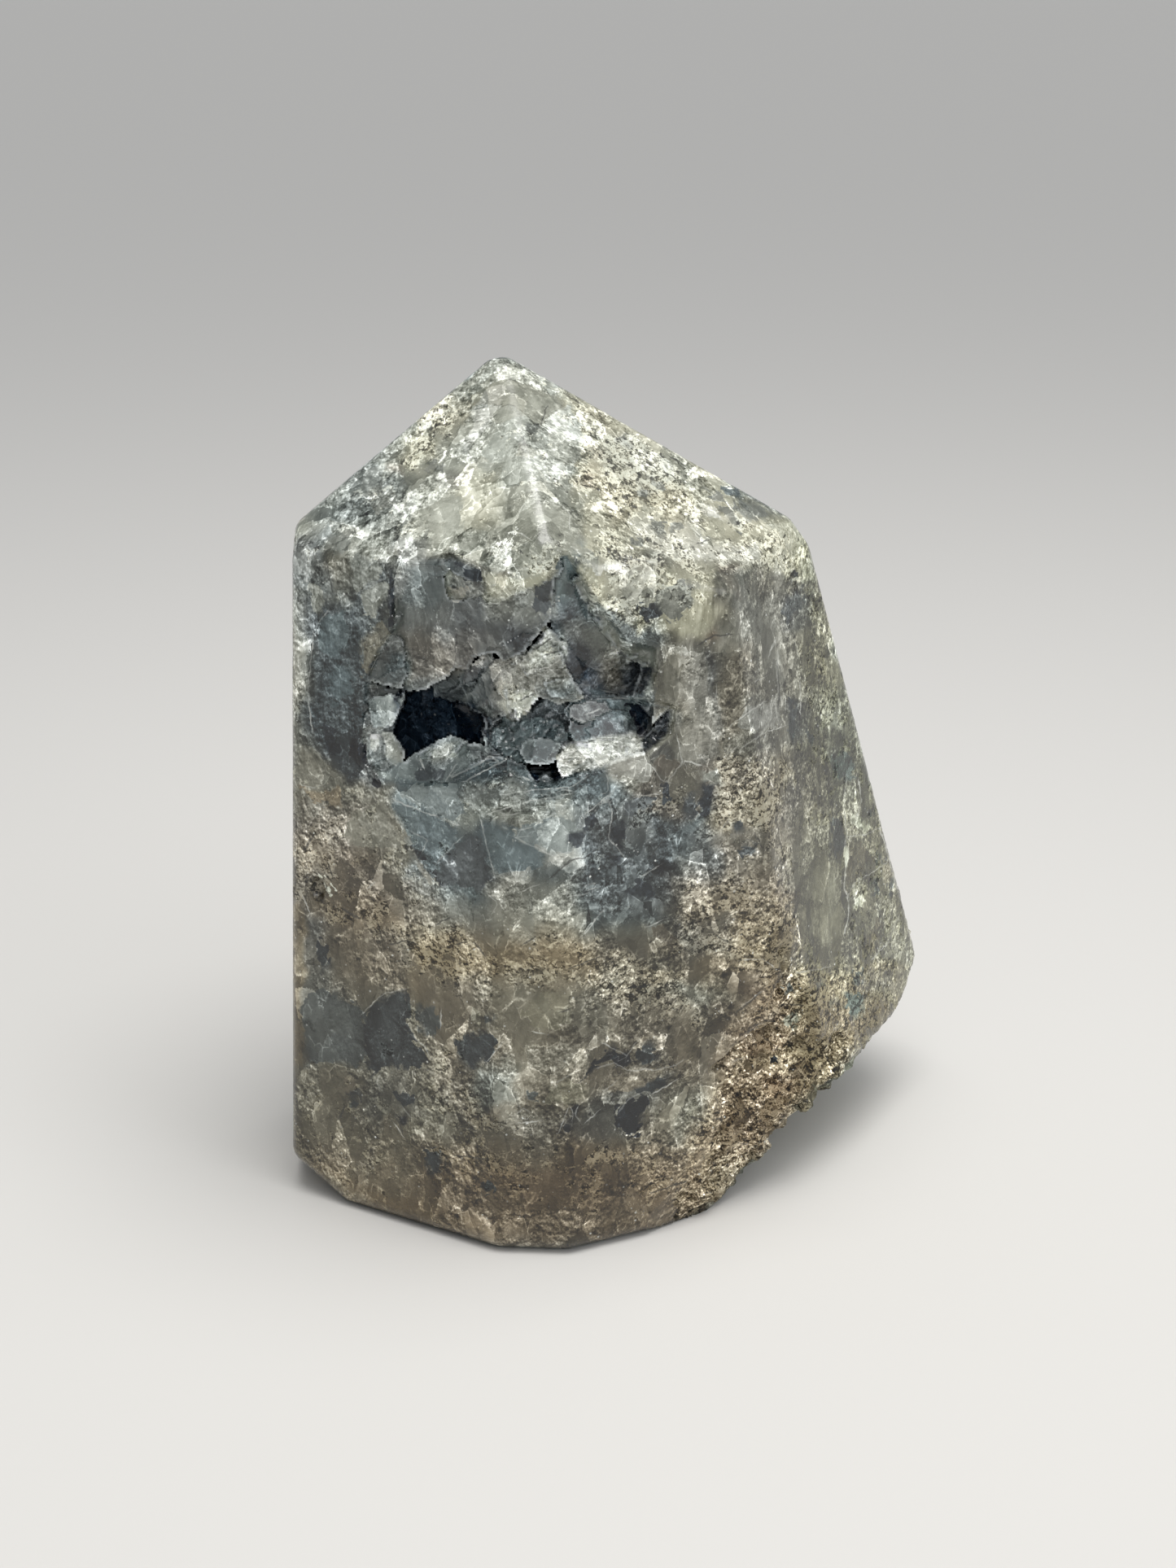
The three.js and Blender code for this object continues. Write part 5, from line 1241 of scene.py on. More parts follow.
crust = mesh_object("pocket_lining", np.concatenate([front, behind]), np.concatenate([quads, quads[:, ::-1] + past, strip]))
crust.data.shade_smooth()
crust.data.set_sharp_from_angle(angle=math.radians(24))
first = crust.data.polygons[0]
print("lining:", len(crust.data.polygons), "faces, the first one looks at the camera:", first.normal.dot(Vector(CAMERA_PLACE) - first.center) > 0)

# %% [markdown]
# Edges that stand proud of the places around them get a pale line: partly the frost of broken crystal and partly a
# painted highlight where light would catch them. And the deeper a face lies, the less light it gets: lines towards many
# parts of the sky tell how much.

# %% Painted edge highlights and shade
SKY_LINES = 40


# Painted highlight on the proud edges of the lining, partly their frost and partly light caught on them.
proud = smeared(np.minimum(depth, 16 * MM), 2) - np.minimum(depth, 16 * MM)
crest = ramp(proud, 0.08 * MM, 0.6 * MM) * ramp(rim_cells, 2, 8)
put_mask(crust.data, "crest", np.concatenate([crest, crest]))


def open_share(points, normals, tree):
    """How much of the light that a free face would get reaches each point."""
    generator = np.random.default_rng(5)
    sky = generator.normal(size=(SKY_LINES, 3))
    sky /= np.linalg.norm(sky, axis=1)[:, None]
    sky = sky[sky[:, 2] > -0.5]
    brightness = np.where(sky[:, 2] > 0, 0.55 + 0.9 * sky[:, 2], 0.3) + 0.25 * np.maximum(sky[:, 0], 0)
    share = np.zeros(len(points))
    free = np.zeros(len(points))
    for direction, bright in zip(sky, brightness):
        falls = np.maximum(normals @ direction, 0) * bright
        free += falls
        for i in np.nonzero(falls > 0.02)[0]:
            if tree.ray_cast(Vector(points[i] + normals[i] * 0.15 * MM), Vector(direction), 0.08)[0] is None:
                share[i] += falls[i]
    return share / np.maximum(free, 1e-6)


both = [(stone.data, 0), (crust.data, len(stone.data.vertices))]
all_points = np.concatenate([places(mesh) for mesh, _ in both])
all_faces = [[v + start for v in p.vertices] for mesh, start in both for p in mesh.polygons]
light_tree = BVHTree.FromPolygons([Vector(p) for p in all_points], all_faces)
front_normals = directions(crust.data)[:past]
seen_points = in_mouth & (depth < 29 * MM)
# This share of sky later lifts the pocket's paint: painted light in its shade.
lit_share = np.ones(past)
lit_share[seen_points] = open_share(front[seen_points], front_normals[seen_points], light_tree)
lit_share = smeared(lit_share, 2)
print("light in the mouth, share of free light: mean", round(lit_share[seen_points].mean(), 2), "least", round(lit_share[seen_points].min(), 2))
# %% [markdown]
# The pocket's colours: a grey-blue lip above, a black hole in the middle, a pale frosted wedge that hangs in front of
# it, a glassy ledge that catches the light, and icy crystals on the floor.

# %% Zones and windows of the pocket
POCKET_ZONES = [
    ("ice", 14, .35, [(486, 690), (560, 690), (560, 730), (530, 760), (490, 770)]),
    ("slate", 12, .75, [(548, 690), (594, 700), (596, 760), (575, 775), (545, 765), (548, 735)]),
    ("teal", 10, .7, [(496, 700), (540, 700), (545, 740), (520, 750), (492, 740)]),
    ("mid grey", 16, .7, [(600, 735), (670, 715), (676, 750), (640, 770), (600, 770)]),
    ("slate", 14, .8, [(560, 765), (640, 765), (660, 785), (640, 800), (575, 785)]),
    ("stone", 12, .7, [(500, 780), (560, 778), (615, 785), (600, 803), (578, 822), (540, 832), (505, 838), (495, 805)]),
    ("mist", 8, .8, [(575, 790), (625, 778), (612, 802), (585, 805)]),
    ("dark slate", 10, .7, [(625, 765), (662, 765), (655, 785), (640, 800), (625, 808)]),
    ("teal", 8, .7, [(470, 800), (495, 805), (500, 838), (480, 838), (462, 825)]),
    ("cream", 9, .8, [(594, 690), (690, 690), (690, 708), (640, 722), (620, 735), (594, 735)]),
    ("teal", 8, .9, [(683, 680), (706, 664), (722, 700), (704, 722), (731, 749), (748, 775), (715, 775), (684, 745)]),
    ("dark slate", 9, .8, [(690, 742), (710, 742), (712, 765), (695, 768)]),
    ("mid grey", 12, .75, [(700, 765), (735, 770), (765, 790), (768, 818), (735, 812), (710, 795), (690, 785)]),
    ("olive", 10, .8, [(738, 800), (768, 800), (764, 845), (740, 845)]),
    ("blue black", 9, .75, [(688, 790), (712, 800), (724, 845), (706, 835), (694, 815)]),
    ("dark slate", 10, .9, [(765, 818), (806, 815), (804, 856), (765, 856)]),
    ("teal", 6, .8, [(720, 852), (760, 857), (800, 852), (800, 862), (724, 862)]),
    ("chalk", 7, .7, [(676, 772), (690, 790), (694, 806), (676, 818), (650, 828), (640, 815), (655, 792)]),
    ("milk", 10, .6, [(608, 808), (640, 815), (650, 845), (640, 870), (622, 862), (606, 835)]),
    ("teal", 8, .7, [(664, 850), (700, 845), (700, 862), (668, 864)]),
    ("chalk", 5, .8, [(618, 862), (655, 858), (650, 880), (632, 886)]),
    ("slate", 10, .6, [(560, 830), (600, 830), (606, 860), (575, 862)]),
    ("blue black", 8, .9, [(497, 858), (578, 862), (600, 882), (598, 905), (545, 905), (497, 932), (486, 900)]),
    ("blue black", 7, .7, [(784, 870), (802, 864), (796, 903), (783, 903)]),
    ("slate", 7, .7, [(745, 884), (784, 884), (784, 903), (745, 903)]),
    ("teal", 8, .6, [(640, 906), (690, 912), (682, 938), (648, 940)]),
    ("chalk", 8, .5, [(524, 924), (560, 922), (562, 940), (530, 944)]),
    ("slate", 9, .7, [(502, 938), (548, 940), (556, 960), (512, 964)]),
    ("ice", 8, .6, [(530, 945), (552, 945), (552, 970), (525, 970)]),
    ("dark slate", 7, .7, [(575, 914), (602, 916), (614, 930), (588, 936)]),
    ("teal", 10, .6, [(560, 955), (640, 940), (655, 958), (640, 972), (570, 974)]),
    # Painted glints on the floor crystals.
    ("chalk", 6, .8, [(574, 968), (608, 968), (610, 985), (574, 985)]),
    ("milk", 9, .8, [(740, 942), (790, 922), (850, 928), (850, 985), (740, 985)]),
    ("slate", 8, .5, [(672, 765), (712, 765), (712, 812), (675, 812)]),
    ("dark slate", 8, .4, [(535, 770), (590, 770), (625, 815), (600, 845), (545, 815)]),
    ("white", 6, .85, [(692, 945), (702, 916), (790, 900), (792, 925), (740, 946)]),
    ("slate", 8, .5, [(700, 948), (745, 944), (740, 985), (706, 985)]),
    ("ice", 8, .7, [(445, 900), (470, 924), (482, 940), (470, 958), (445, 945)]),
    ("blue black", 4, .9, [(492, 846), (506, 848), (500, 862), (488, 862)]),
]
POCKET_MARKS = [
    ("dark slate", .8, [(700, 790), (722, 800), (718, 818), (704, 822), (696, 806)]),
    ("teal", .8, [(684, 672), (704, 664), (712, 686), (722, 698), (702, 718), (686, 706)]),
    ("slate", .8, [(660, 718), (678, 712), (677, 750), (668, 764), (656, 745)]),
    ("dark slate", .8, [(560, 692), (592, 700), (594, 716), (572, 712)]),
    ("milk", .5, [(552, 722), (574, 722), (578, 732), (562, 738), (550, 734)]),
    ("blue black", .8, [(770, 867), (798, 862), (794, 903), (782, 900)]),
    ("slate", .8, [(506, 946), (520, 942), (548, 950), (544, 960), (512, 962)]),
    ("ice", .7, [(590, 907), (598, 908), (600, 918), (596, 922), (592, 916)]),
]
POCKET_WHITE = [
    (2.2, [(555, 955), (590, 938), (600, 930)]), (1.8, [(560, 966), (600, 945), (620, 935)]), (1.6, [(548, 960), (560, 940)]), (2.4, [(604, 930), (612, 936)]),
    (2.4, [(475, 936), (477, 946)]), (2.4, [(517, 934), (520, 943)]), (1.8, [(620, 948), (650, 958)]), (1.8, [(700, 868), (740, 858), (790, 858)]),
    (1.8, [(712, 842), (724, 842)]), (1.6, [(740, 848), (760, 853)]), (1.6, [(720, 878), (735, 872)]), (1.8, [(655, 788), (682, 788)]), (1.8, [(668, 808), (686, 806)]),
    (1.6, [(646, 830), (658, 822), (672, 820)]), (1.8, [(692, 862), (702, 880), (720, 888), (730, 884)]), (1.6, [(786, 905), (800, 890), (828, 868)]), (1.8, [(804, 850), (800, 880), (796, 900)]),
    (1.6, [(640, 968), (700, 965)]), (1.6, [(454, 896), (440, 905)]), (1.6, [(465, 908), (480, 912)]), (1.6, [(600, 742), (615, 742)]),
]
POCKET_DARK = [(2.0, [(660, 796), (676, 786)]), (2.0, [(672, 804), (690, 800)]), (1.8, [(640, 860), (655, 852)]), (2.0, [(560, 800), (560, 780)]), (1.8, [(742, 870), (770, 874)])]
POCKET_SAND = [(.45, 8, [(640, 790), (676, 772), (690, 810), (650, 830)]), (.6, 8, [(740, 690), (790, 690), (800, 790), (760, 780), (715, 730)]), (.4, 8, [(622, 846), (655, 850), (634, 884)])]
POCKET_FIBRE = [(.9, 8, [(685, 945), (693, 915), (790, 904), (790, 922), (718, 948)]), (.8, 8, [(790, 914), (830, 868), (832, 908), (796, 924)]), (.6, 10, [(550, 960), (640, 905), (650, 940), (570, 972)])]
POCKET_UPRIGHT = [(.6, 10, [(484, 690), (600, 700), (640, 790), (500, 830)]), (.6, 6, [(692, 872), (800, 858), (784, 905), (700, 908)]), (.5, 8, [(684, 680), (740, 760), (700, 780)])]

both_layers = np.concatenate([front, behind])
crust_turned = directions(crust.data)
every = np.ones(2 * past)
on_body = np.tile(1 - ramp(rim_cells, 1, 6), 2)
# The pocket's paint is lifted by its share of sky: painted light in the pocket's shade.
shares = np.tile(lit_share, 2)
in_pocket = paint_of(both_layers, crust_turned, every, np.tile(face_paint, (2, 1)), shares, POCKET_ZONES, POCKET_MARKS, POCKET_WHITE, POCKET_DARK, POCKET_SAND, [], POCKET_FIBRE, POCKET_UPRIGHT, .04, .5)
on_lap = paint_of(both_layers, crust_turned, every, hidden_ground(both_layers, crust_turned), shares, *BODY_KIT)
blended = {}
for name, values in in_pocket.items():
    amount = on_body if values.ndim == 1 else on_body[:, None]
    if name.endswith(("edge", "side", "width", "mark_colour", "calm")):
        amount = amount > 0.5
    blended[name] = values + (on_lap[name] - values) * amount
put_paint(crust.data, blended)
put_mask(crust.data, "broken", 0 * every)
put_mask(crust.data, "rim", 0 * every)
print("pocket zones:", len(POCKET_ZONES), "marks:", len(POCKET_MARKS))

# %% [markdown]
# Crystal is not one colour. Seen closely it is a mosaic of grains that each turn the light their own way, with fine
# cleavage lines inside. The group below makes such grains from warped Voronoi cells at any size. It puts out a random
# tone for each grain, a painted light that runs across it, its border, and streaks that run a different way in every
# grain. The painted light matters most: each grain is painted bright on one side and dark on the other, a painted
# highlight and painted shade that make it read as a broken, tilted face.

# %% Group: crystal grains


def shader_group(name, inputs, outputs):
    tree = bpy.data.node_groups.new(name, "ShaderNodeTree")
    for socket, (kind, value) in inputs.items():
        tree.interface.new_socket(socket, in_out="INPUT", socket_type=kind).default_value = value
    for socket, kind in outputs.items():
        tree.interface.new_socket(socket, in_out="OUTPUT", socket_type=kind)
    return Bench(tree), tree.nodes.new("NodeGroupInput").outputs, tree.nodes.new("NodeGroupOutput").inputs


NUMBER, COLOUR, VECTOR = "NodeSocketFloat", "NodeSocketColor", "NodeSocketVector"
HALF = (0.5, 0.5, 0.5)


def total(desk, values):
    result = values[0]
    for value in values[1:]:
        result = desk.math("ADD", result, value)
    return result


def around(desk, value, swing):
    """The value as a swing around zero."""
    return desk.math("MULTIPLY", desk.math("SUBTRACT", value, 0.5), swing)


def painted_relief_light_of(desk, place, scale, octaves, step):
    """Painted relief light: noise as if carved and lit from above, its value here less its value a step further up."""
    moved = desk.vector("ADD", place, (0.3 * step, -0.3 * step, step))
    return desk.math("SUBTRACT", desk.noise(place, scale, octaves, 0.7).outputs["Fac"], desk.noise(moved, scale, octaves, 0.7).outputs["Fac"])


def crystal_grains():
    desk, given, result = shader_group("crystal grains", {
        "Grain Size": (NUMBER, 6 * MM), "Warp": (NUMBER, 0.25), "Streak Size": (NUMBER, 0.5 * MM), "Shift": (NUMBER, 0.0)},
        {"Tone": NUMBER, "Hue": NUMBER, "Slope": NUMBER, "Border": NUMBER, "Streak": NUMBER, "Dash": NUMBER})
    place = desk.put("ShaderNodeTexCoord").outputs["Object"]
    leaned = desk.put("ShaderNodeMapping", {"Vector": place, "Rotation": (0.3, 0.8, 0.2), "Scale": (1.0, 1.15, 0.62)}).outputs[0]
    scale = desk.math("DIVIDE", 1.0, given["Grain Size"])
    sized = desk.vector("ADD", desk.scaled(leaned, scale), desk.put("ShaderNodeCombineXYZ", {0: given["Shift"]}).outputs[0])
    drift = desk.vector("SUBTRACT", desk.noise(sized, 1.7, 5.0, 0.75).outputs["Color"], HALF)
    warped = desk.vector("ADD", sized, desk.scaled(drift, desk.math("MULTIPLY", given["Warp"], 4.0)))
    cell = desk.cells(warped, 1.0)
    parts = desk.put("ShaderNodeSeparateXYZ", {0: cell.outputs["Color"]}).outputs
    border = desk.cells(warped, 1.0, "DISTANCE_TO_EDGE").outputs["Distance"]
    spun = desk.put("ShaderNodeVectorRotate", {"Vector": place, "Rotation": desk.scaled(cell.outputs["Color"], 6.0)}, rotation_type="EULER_XYZ").outputs[0]
    drawn = desk.vector("MULTIPLY", spun, (0.09, 1.0, 0.4))
    streak = desk.noise(drawn, desk.math("DIVIDE", 1.0, given["Streak Size"]), 2.0, 0.5).outputs["Fac"]
    curved = desk.vector("ADD", spun, desk.scaled(drift, desk.math("MULTIPLY", given["Grain Size"], 0.25)))
    dash = desk.cells(desk.vector("MULTIPLY", curved, (0.28, 1.0, 0.8)), desk.math("DIVIDE", 1.3, given["Streak Size"]))
    chosen = desk.math("GREATER_THAN", desk.put("ShaderNodeSeparateXYZ", {0: dash.outputs["Color"]}).outputs[0], 0.74)
    dash_mask = desk.math("MULTIPLY", chosen, desk.math("SUBTRACT", 1.0, desk.step(dash.outputs["Distance"], 0.16, 0.34)))
    lean = desk.vector("SUBTRACT", cell.outputs["Color"], HALF)
    off_middle = desk.vector("SUBTRACT", warped, cell.outputs["Position"])
    # Painted light and shade: each grain is painted lighter on one side and darker on the other, like a tilted face lit
    # from above.
    painted_facet_light = desk.math("MULTIPLY", desk.put("ShaderNodeVectorMath", {0: off_middle, 1: lean}, operation="DOT_PRODUCT").outputs["Value"], 2.4)
    for name, value in (("Tone", parts[0]), ("Hue", parts[1]), ("Slope", painted_facet_light), ("Border", border), ("Streak", streak), ("Dash", dash_mask)):
        desk.tree.links.new(value, result[name])
    return desk.tree


GRAINS = crystal_grains()

# %% [markdown]
# The sandy matrix between the crystals is a crumb of cream, tan and dark grains under a millimetre wide. It shows in
# ragged patches, so the mask is broken up by noise before it is cut.

# %% Group: sandy matrix


def sandy_matrix():
    desk, given, result = shader_group("sandy matrix", {"Amount": (NUMBER, 0.3), "Grain Size": (NUMBER, 0.75 * MM)}, {"Mask": NUMBER, "Shade": NUMBER, "Warmth": NUMBER, "Height": NUMBER})
    place = desk.put("ShaderNodeTexCoord").outputs["Object"]
    patch = desk.math("SUBTRACT", desk.noise(place, 190.0, 5.0, 0.72).outputs["Fac"], 0.5)
    crumble = desk.math("SUBTRACT", desk.noise(place, 1000.0, 2.0).outputs["Fac"], 0.5)
    reach = desk.math("ADD", given["Amount"], desk.math("ADD", desk.math("MULTIPLY", patch, 2.6), desk.math("MULTIPLY", crumble, 1.0)))
    mask = desk.step(reach, 0.46, 0.66)
    bent = desk.vector("ADD", place, desk.scaled(desk.vector("SUBTRACT", desk.noise(place, 900.0, 2.0).outputs["Color"], HALF), 0.9 * MM))
    crumb = desk.cells(bent, desk.math("DIVIDE", 1.0, given["Grain Size"]))
    parts = desk.put("ShaderNodeSeparateXYZ", {0: crumb.outputs["Color"]}).outputs
    # The crumb's painted light: the embossed noise gives each grain a painted lit top and a painted shaded lower edge.
    carved = painted_relief_light_of(desk, bent, 620.0, 4.0, 0.32 * MM)
    pits = desk.step(desk.noise(bent, 420.0, 3.0, 0.7).outputs["Fac"], 0.36, 0.5)
    shade = total(desk, [0.45, desk.math("MULTIPLY", carved, 4.6), around(desk, pits, 0.55), around(desk, parts[0], 0.2)])
    height = desk.math("SUBTRACT", parts[2], desk.math("MULTIPLY", crumb.outputs["Distance"], 0.9))
    for name, value in (("Mask", mask), ("Shade", shade), ("Warmth", parts[1]), ("Height", height)):
        desk.tree.links.new(value, result[name])
    return desk.tree


MATRIX = sandy_matrix()

# %% [markdown]
# Strokes and cut marks come as distances from the vertices. This group turns them into masks with slightly ragged
# edges, and both the stone and the pocket use it.

# %% Group: listed marks


def hand_marks():
    desk, given, result = shader_group("hand-placed marks", {"Raggedness": (NUMBER, 0.55)}, {
        "Ground": COLOUR, "Calm": NUMBER, "Depth": NUMBER, "White": NUMBER, "Dark": NUMBER, "Outline": NUMBER})

    def read(name, output="Fac"):
        return desk.put("ShaderNodeAttribute", attribute_name=name).outputs[output]

    place = desk.put("ShaderNodeTexCoord").outputs["Object"]
    rough = desk.math("SUBTRACT", desk.noise(place, 620.0, 4.0, 0.6).outputs["Fac"], 0.5)
    splinter = desk.put("ShaderNodeSeparateXYZ", {0: desk.cells(place, 1 / (1.5 * MM)).outputs["Color"]}).outputs[0]
    bite = desk.math("ADD", desk.math("MULTIPLY", rough, 2.4), desk.math("MULTIPLY", desk.math("SUBTRACT", splinter, 0.55), 2.6))
    edge = desk.math("ADD", read("mark_edge"), desk.math("MULTIPLY", bite, given["Raggedness"]))
    softness = desk.math("ADD", 0.06, desk.math("MULTIPLY", desk.step(desk.noise(place, 170.0, 2.0).outputs["Fac"], 0.48, 0.6), 1.3))
    inside = desk.put("ShaderNodeMapRange", {"Value": edge, "From Min": desk.math("MULTIPLY", softness, -1.0), "From Max": softness}, interpolation_type="SMOOTHSTEP").outputs[0]
    ground = desk.mix(inside, read("ground", "Color"), read("mark_colour", "Color"))
    calm = desk.math("MULTIPLY", inside, read("mark_calm"))
    near = desk.math("SUBTRACT", 1.0, desk.step(desk.math("ABSOLUTE", desk.math("SUBTRACT", edge, 0.02)), 0.03, 0.22))
    outline = desk.math("MULTIPLY", near, desk.math("SUBTRACT", 1.0, desk.step(softness, 0.1, 0.4)))
    for name, result_name in (("white", "White"), ("dark", "Dark")):
        side = desk.math("ABSOLUTE", desk.math("ADD", read(name + "_side"), desk.math("MULTIPLY", rough, 1.1)))
        spare = desk.math("SUBTRACT", read(name + "_width"), side)
        desk.tree.links.new(desk.step(spare, -0.06, 0.05), result[result_name])
    depth = desk.math("ADD", 0.5, desk.math("MULTIPLY", inside, desk.math("SUBTRACT", desk.step(edge, 0.2, 3.6), 0.5)))
    for name, value in (("Ground", ground), ("Calm", calm), ("Depth", depth), ("Outline", outline)):
        desk.tree.links.new(value, result[name])
    return desk.tree


MARKS = hand_marks()
print("groups:", GRAINS.name, "|", MATRIX.name, "|", MARKS.name)

# %% [markdown]
# The stone's material multiplies its ground colour by the grains, streaks and mottling, lays the sandy matrix and the
# strokes over it, and adds tiny white painted glints, painted highlights where light would catch a cleavage. The polish
# is a clear coat, which ends on the broken side.

# %% Material: polished celestite


def group_in(desk, tree, feeds=None):
    node = desk.put("ShaderNodeGroup", node_tree=tree)
    for socket, value in (feeds or {}).items():
        if isinstance(value, bpy.types.NodeSocket):
            desk.tree.links.new(value, node.inputs[socket])
        else:
            node.inputs[socket].default_value = value
    return node.outputs


def brightened(desk, colour, stops):
    """The colour made lighter or darker by so many stops. Dark crystal is purer in colour and light crystal is milkier."""
    purer = desk.put("ShaderNodeGamma", {"Color": colour, "Gamma": desk.math("POWER", 2.0, desk.math("MULTIPLY", stops, -0.33))}).outputs[0]
    return desk.scaled(purer, desk.math("POWER", 2.0, desk.math("MULTIPLY", stops, 0.45)))


def mineral(material, contrast, sand_size, polish, glint_share, crest):
    material.use_nodes = True
    desk = Bench(material.node_tree)
    shader = material.node_tree.nodes["Principled BSDF"]

    def read(name):
        return desk.put("ShaderNodeAttribute", attribute_name=name).outputs["Fac"]

    place = desk.put("ShaderNodeTexCoord").outputs["Object"]
    marks = group_in(desk, MARKS, {"Raggedness": 0.5})
    large = group_in(desk, GRAINS, {"Grain Size": 15 * MM, "Warp": 0.1, "Streak Size": 0.9 * MM, "Shift": 0.0})
    middle = group_in(desk, GRAINS, {"Grain Size": 6 * MM, "Warp": 0.085, "Streak Size": 0.45 * MM, "Shift": 17.0})
    small = group_in(desk, GRAINS, {"Grain Size": 2.6 * MM, "Warp": 0.06, "Streak Size": 0.4 * MM, "Shift": 31.0})
    sand = group_in(desk, MATRIX, {"Amount": read("sand"), "Grain Size": sand_size})
    mosaic = desk.math("ADD", desk.math("MULTIPLY", read("mosaic"), 0.8), 0.2)
    window = desk.math("MULTIPLY", desk.math("MAXIMUM", desk.math("GREATER_THAN", middle["Hue"], 0.82), desk.math("GREATER_THAN", large["Hue"], 0.88)), desk.math("SUBTRACT", 1.0, marks["Calm"]))
    glassy = desk.math("ADD", around(desk, middle["Hue"], 0.3), around(desk, large["Hue"], 0.16))
    crumbled = desk.math("ADD", 0.2, desk.math("MULTIPLY", 1.1, desk.step(desk.math("SUBTRACT", desk.noise(place, 150.0, 4.0, 0.65).outputs["Fac"], glassy), 0.43, 0.53)))
    crumbled = desk.math("MULTIPLY", crumbled, total(desk, [0.75, read("sand"), desk.math("MULTIPLY", read("broken"), 0.8)]))
    busy = desk.math("SUBTRACT", 1.0, desk.math("MAXIMUM", desk.math("MULTIPLY", marks["Calm"], 0.72), desk.math("MULTIPLY", window, 0.5)))
    cloud = desk.noise(place, 95.0, 5.0, 0.65).outputs["Fac"]
    speckle = desk.noise(place, 1100.0, 3.0, 0.8).outputs["Fac"]
    # Painted light and shade of a carved relief, laid into the crumbled parts of the colour.
    carved = painted_relief_light_of(desk, place, 480.0, 5.0, 0.45 * MM)
    # The grains' painted facet light and shade, with their tone, streaks and mottle, as stops of brightness.
    grainy = total(desk, [
        desk.math("MULTIPLY", large["Slope"], 0.5 * contrast), around(desk, large["Tone"], 0.45 * contrast),
        desk.math("MULTIPLY", middle["Slope"], 0.85 * contrast), around(desk, middle["Tone"], 0.7 * contrast),
        desk.math("MULTIPLY", desk.math("ADD", desk.math("MULTIPLY", small["Slope"], 1.1 * contrast), around(desk, small["Tone"], 1.1 * contrast)), mosaic),
        around(desk, large["Streak"], 1.6 * contrast), around(desk, middle["Streak"], 1.8 * contrast),
        around(desk, cloud, 1.2 * contrast),
        desk.math("MULTIPLY", crumbled, desk.math("ADD", around(desk, speckle, 3.2 * contrast), desk.math("MULTIPLY", carved, 9.0 * contrast)))])
    # The large grains' painted facet light is added once more here, outside the damping of the calm windows.
    stops = total(desk, [desk.math("MULTIPLY", grainy, busy), desk.math("MULTIPLY", large["Slope"], 0.3), desk.math("MULTIPLY", window, -0.75), around(desk, marks["Depth"], 0.5)])
    ground = brightened(desk, marks["Ground"], stops)
    tint = desk.mix(desk.math("ADD", desk.math("MULTIPLY", middle["Tone"], 0.5), desk.math("MULTIPLY", large["Hue"], 0.5)), (0.97, 1.0, 1.04, 1), (1.03, 1.0, 0.96, 1))
    ground = desk.mix(1.0, ground, tint, "MULTIPLY")

    broken_up = desk.step(desk.noise(place, 240.0, 4.0, 0.6).outputs["Fac"], 0.48, 0.6)
    # Painted highlights: the marks' outlines and the grains' borders are made lighter where the painted facet light is
    # bright, like edges catching the light.
    painted_edge_highlights = [desk.math("MULTIPLY", marks["Outline"], 0.8)]
    for grain, width, strength in ((large, 0.022, 1.3), (middle, 0.05, 1.5), (small, 0.09, 1.1)):
        rim = desk.math("SUBTRACT", 1.0, desk.step(grain["Border"], 0.0, width))
        painted_edge_highlights.append(desk.math("MULTIPLY", desk.math("MULTIPLY", rim, desk.step(grain["Slope"], -0.1, 0.3)), strength))
    ground = brightened(desk, ground, desk.math("MULTIPLY", desk.math("MULTIPLY", total(desk, painted_edge_highlights), broken_up), 1.1))
    crack = desk.math("MULTIPLY", desk.math("SUBTRACT", 1.0, desk.step(large["Border"], 0.0, 0.02)), desk.math("SUBTRACT", 1.0, desk.step(cloud, 0.4, 0.46)))
    ground = brightened(desk, ground, desk.math("MULTIPLY", crack, -1.1))
    web = desk.noise(place, 330.0, 4.0, 0.66).outputs["Fac"]
    thin = desk.math("SUBTRACT", 1.0, desk.step(desk.math("ABSOLUTE", desk.math("SUBTRACT", web, 0.5)), 0.002, 0.012))
    vein = desk.math("MULTIPLY", thin, desk.step(desk.noise(place, 120.0, 3.0, 0.6).outputs["Fac"], 0.47, 0.62))
    dashes = desk.math("MAXIMUM", desk.math("MULTIPLY", large["Dash"], desk.step(web, 0.46, 0.58)), desk.math("MULTIPLY", middle["Dash"], desk.step(cloud, 0.42, 0.58)))
    ground = brightened(desk, ground, desk.math("MULTIPLY", desk.math("ADD", desk.math("MULTIPLY", dashes, 1.3), desk.math("MULTIPLY", vein, 0.9)), desk.math("SUBTRACT", 1.0, desk.math("MULTIPLY", marks["Calm"], 0.7))))

    leaned = desk.put("ShaderNodeMapping", {"Vector": place, "Rotation": (0, 0.62, 0), "Scale": (0.16, 1.0, 1.0)}).outputs[0]
    thread = desk.step(desk.noise(leaned, 1300.0, 2.0, 0.5).outputs["Fac"], 0.54, 0.64)
    ground = brightened(desk, ground, desk.math("MULTIPLY", around(desk, thread, 1.4), read("fibre")))

    raised = desk.vector("MULTIPLY", desk.put("ShaderNodeMapping", {"Vector": place, "Rotation": (0, -0.12, 0)}).outputs[0], (1.0, 1.0, 0.16))
    strand = desk.math("ADD", desk.math("MULTIPLY", desk.noise(raised, 900.0, 3.0, 0.7).outputs["Fac"], 1.2), desk.noise(raised, 260.0, 3.0, 0.6).outputs["Fac"])
    here = desk.math("MULTIPLY", read("upright"), desk.step(cloud, 0.38, 0.6))
    ground = brightened(desk, ground, desk.math("MULTIPLY", desk.math("SUBTRACT", strand, 1.1), desk.math("MULTIPLY", here, 3.8)))

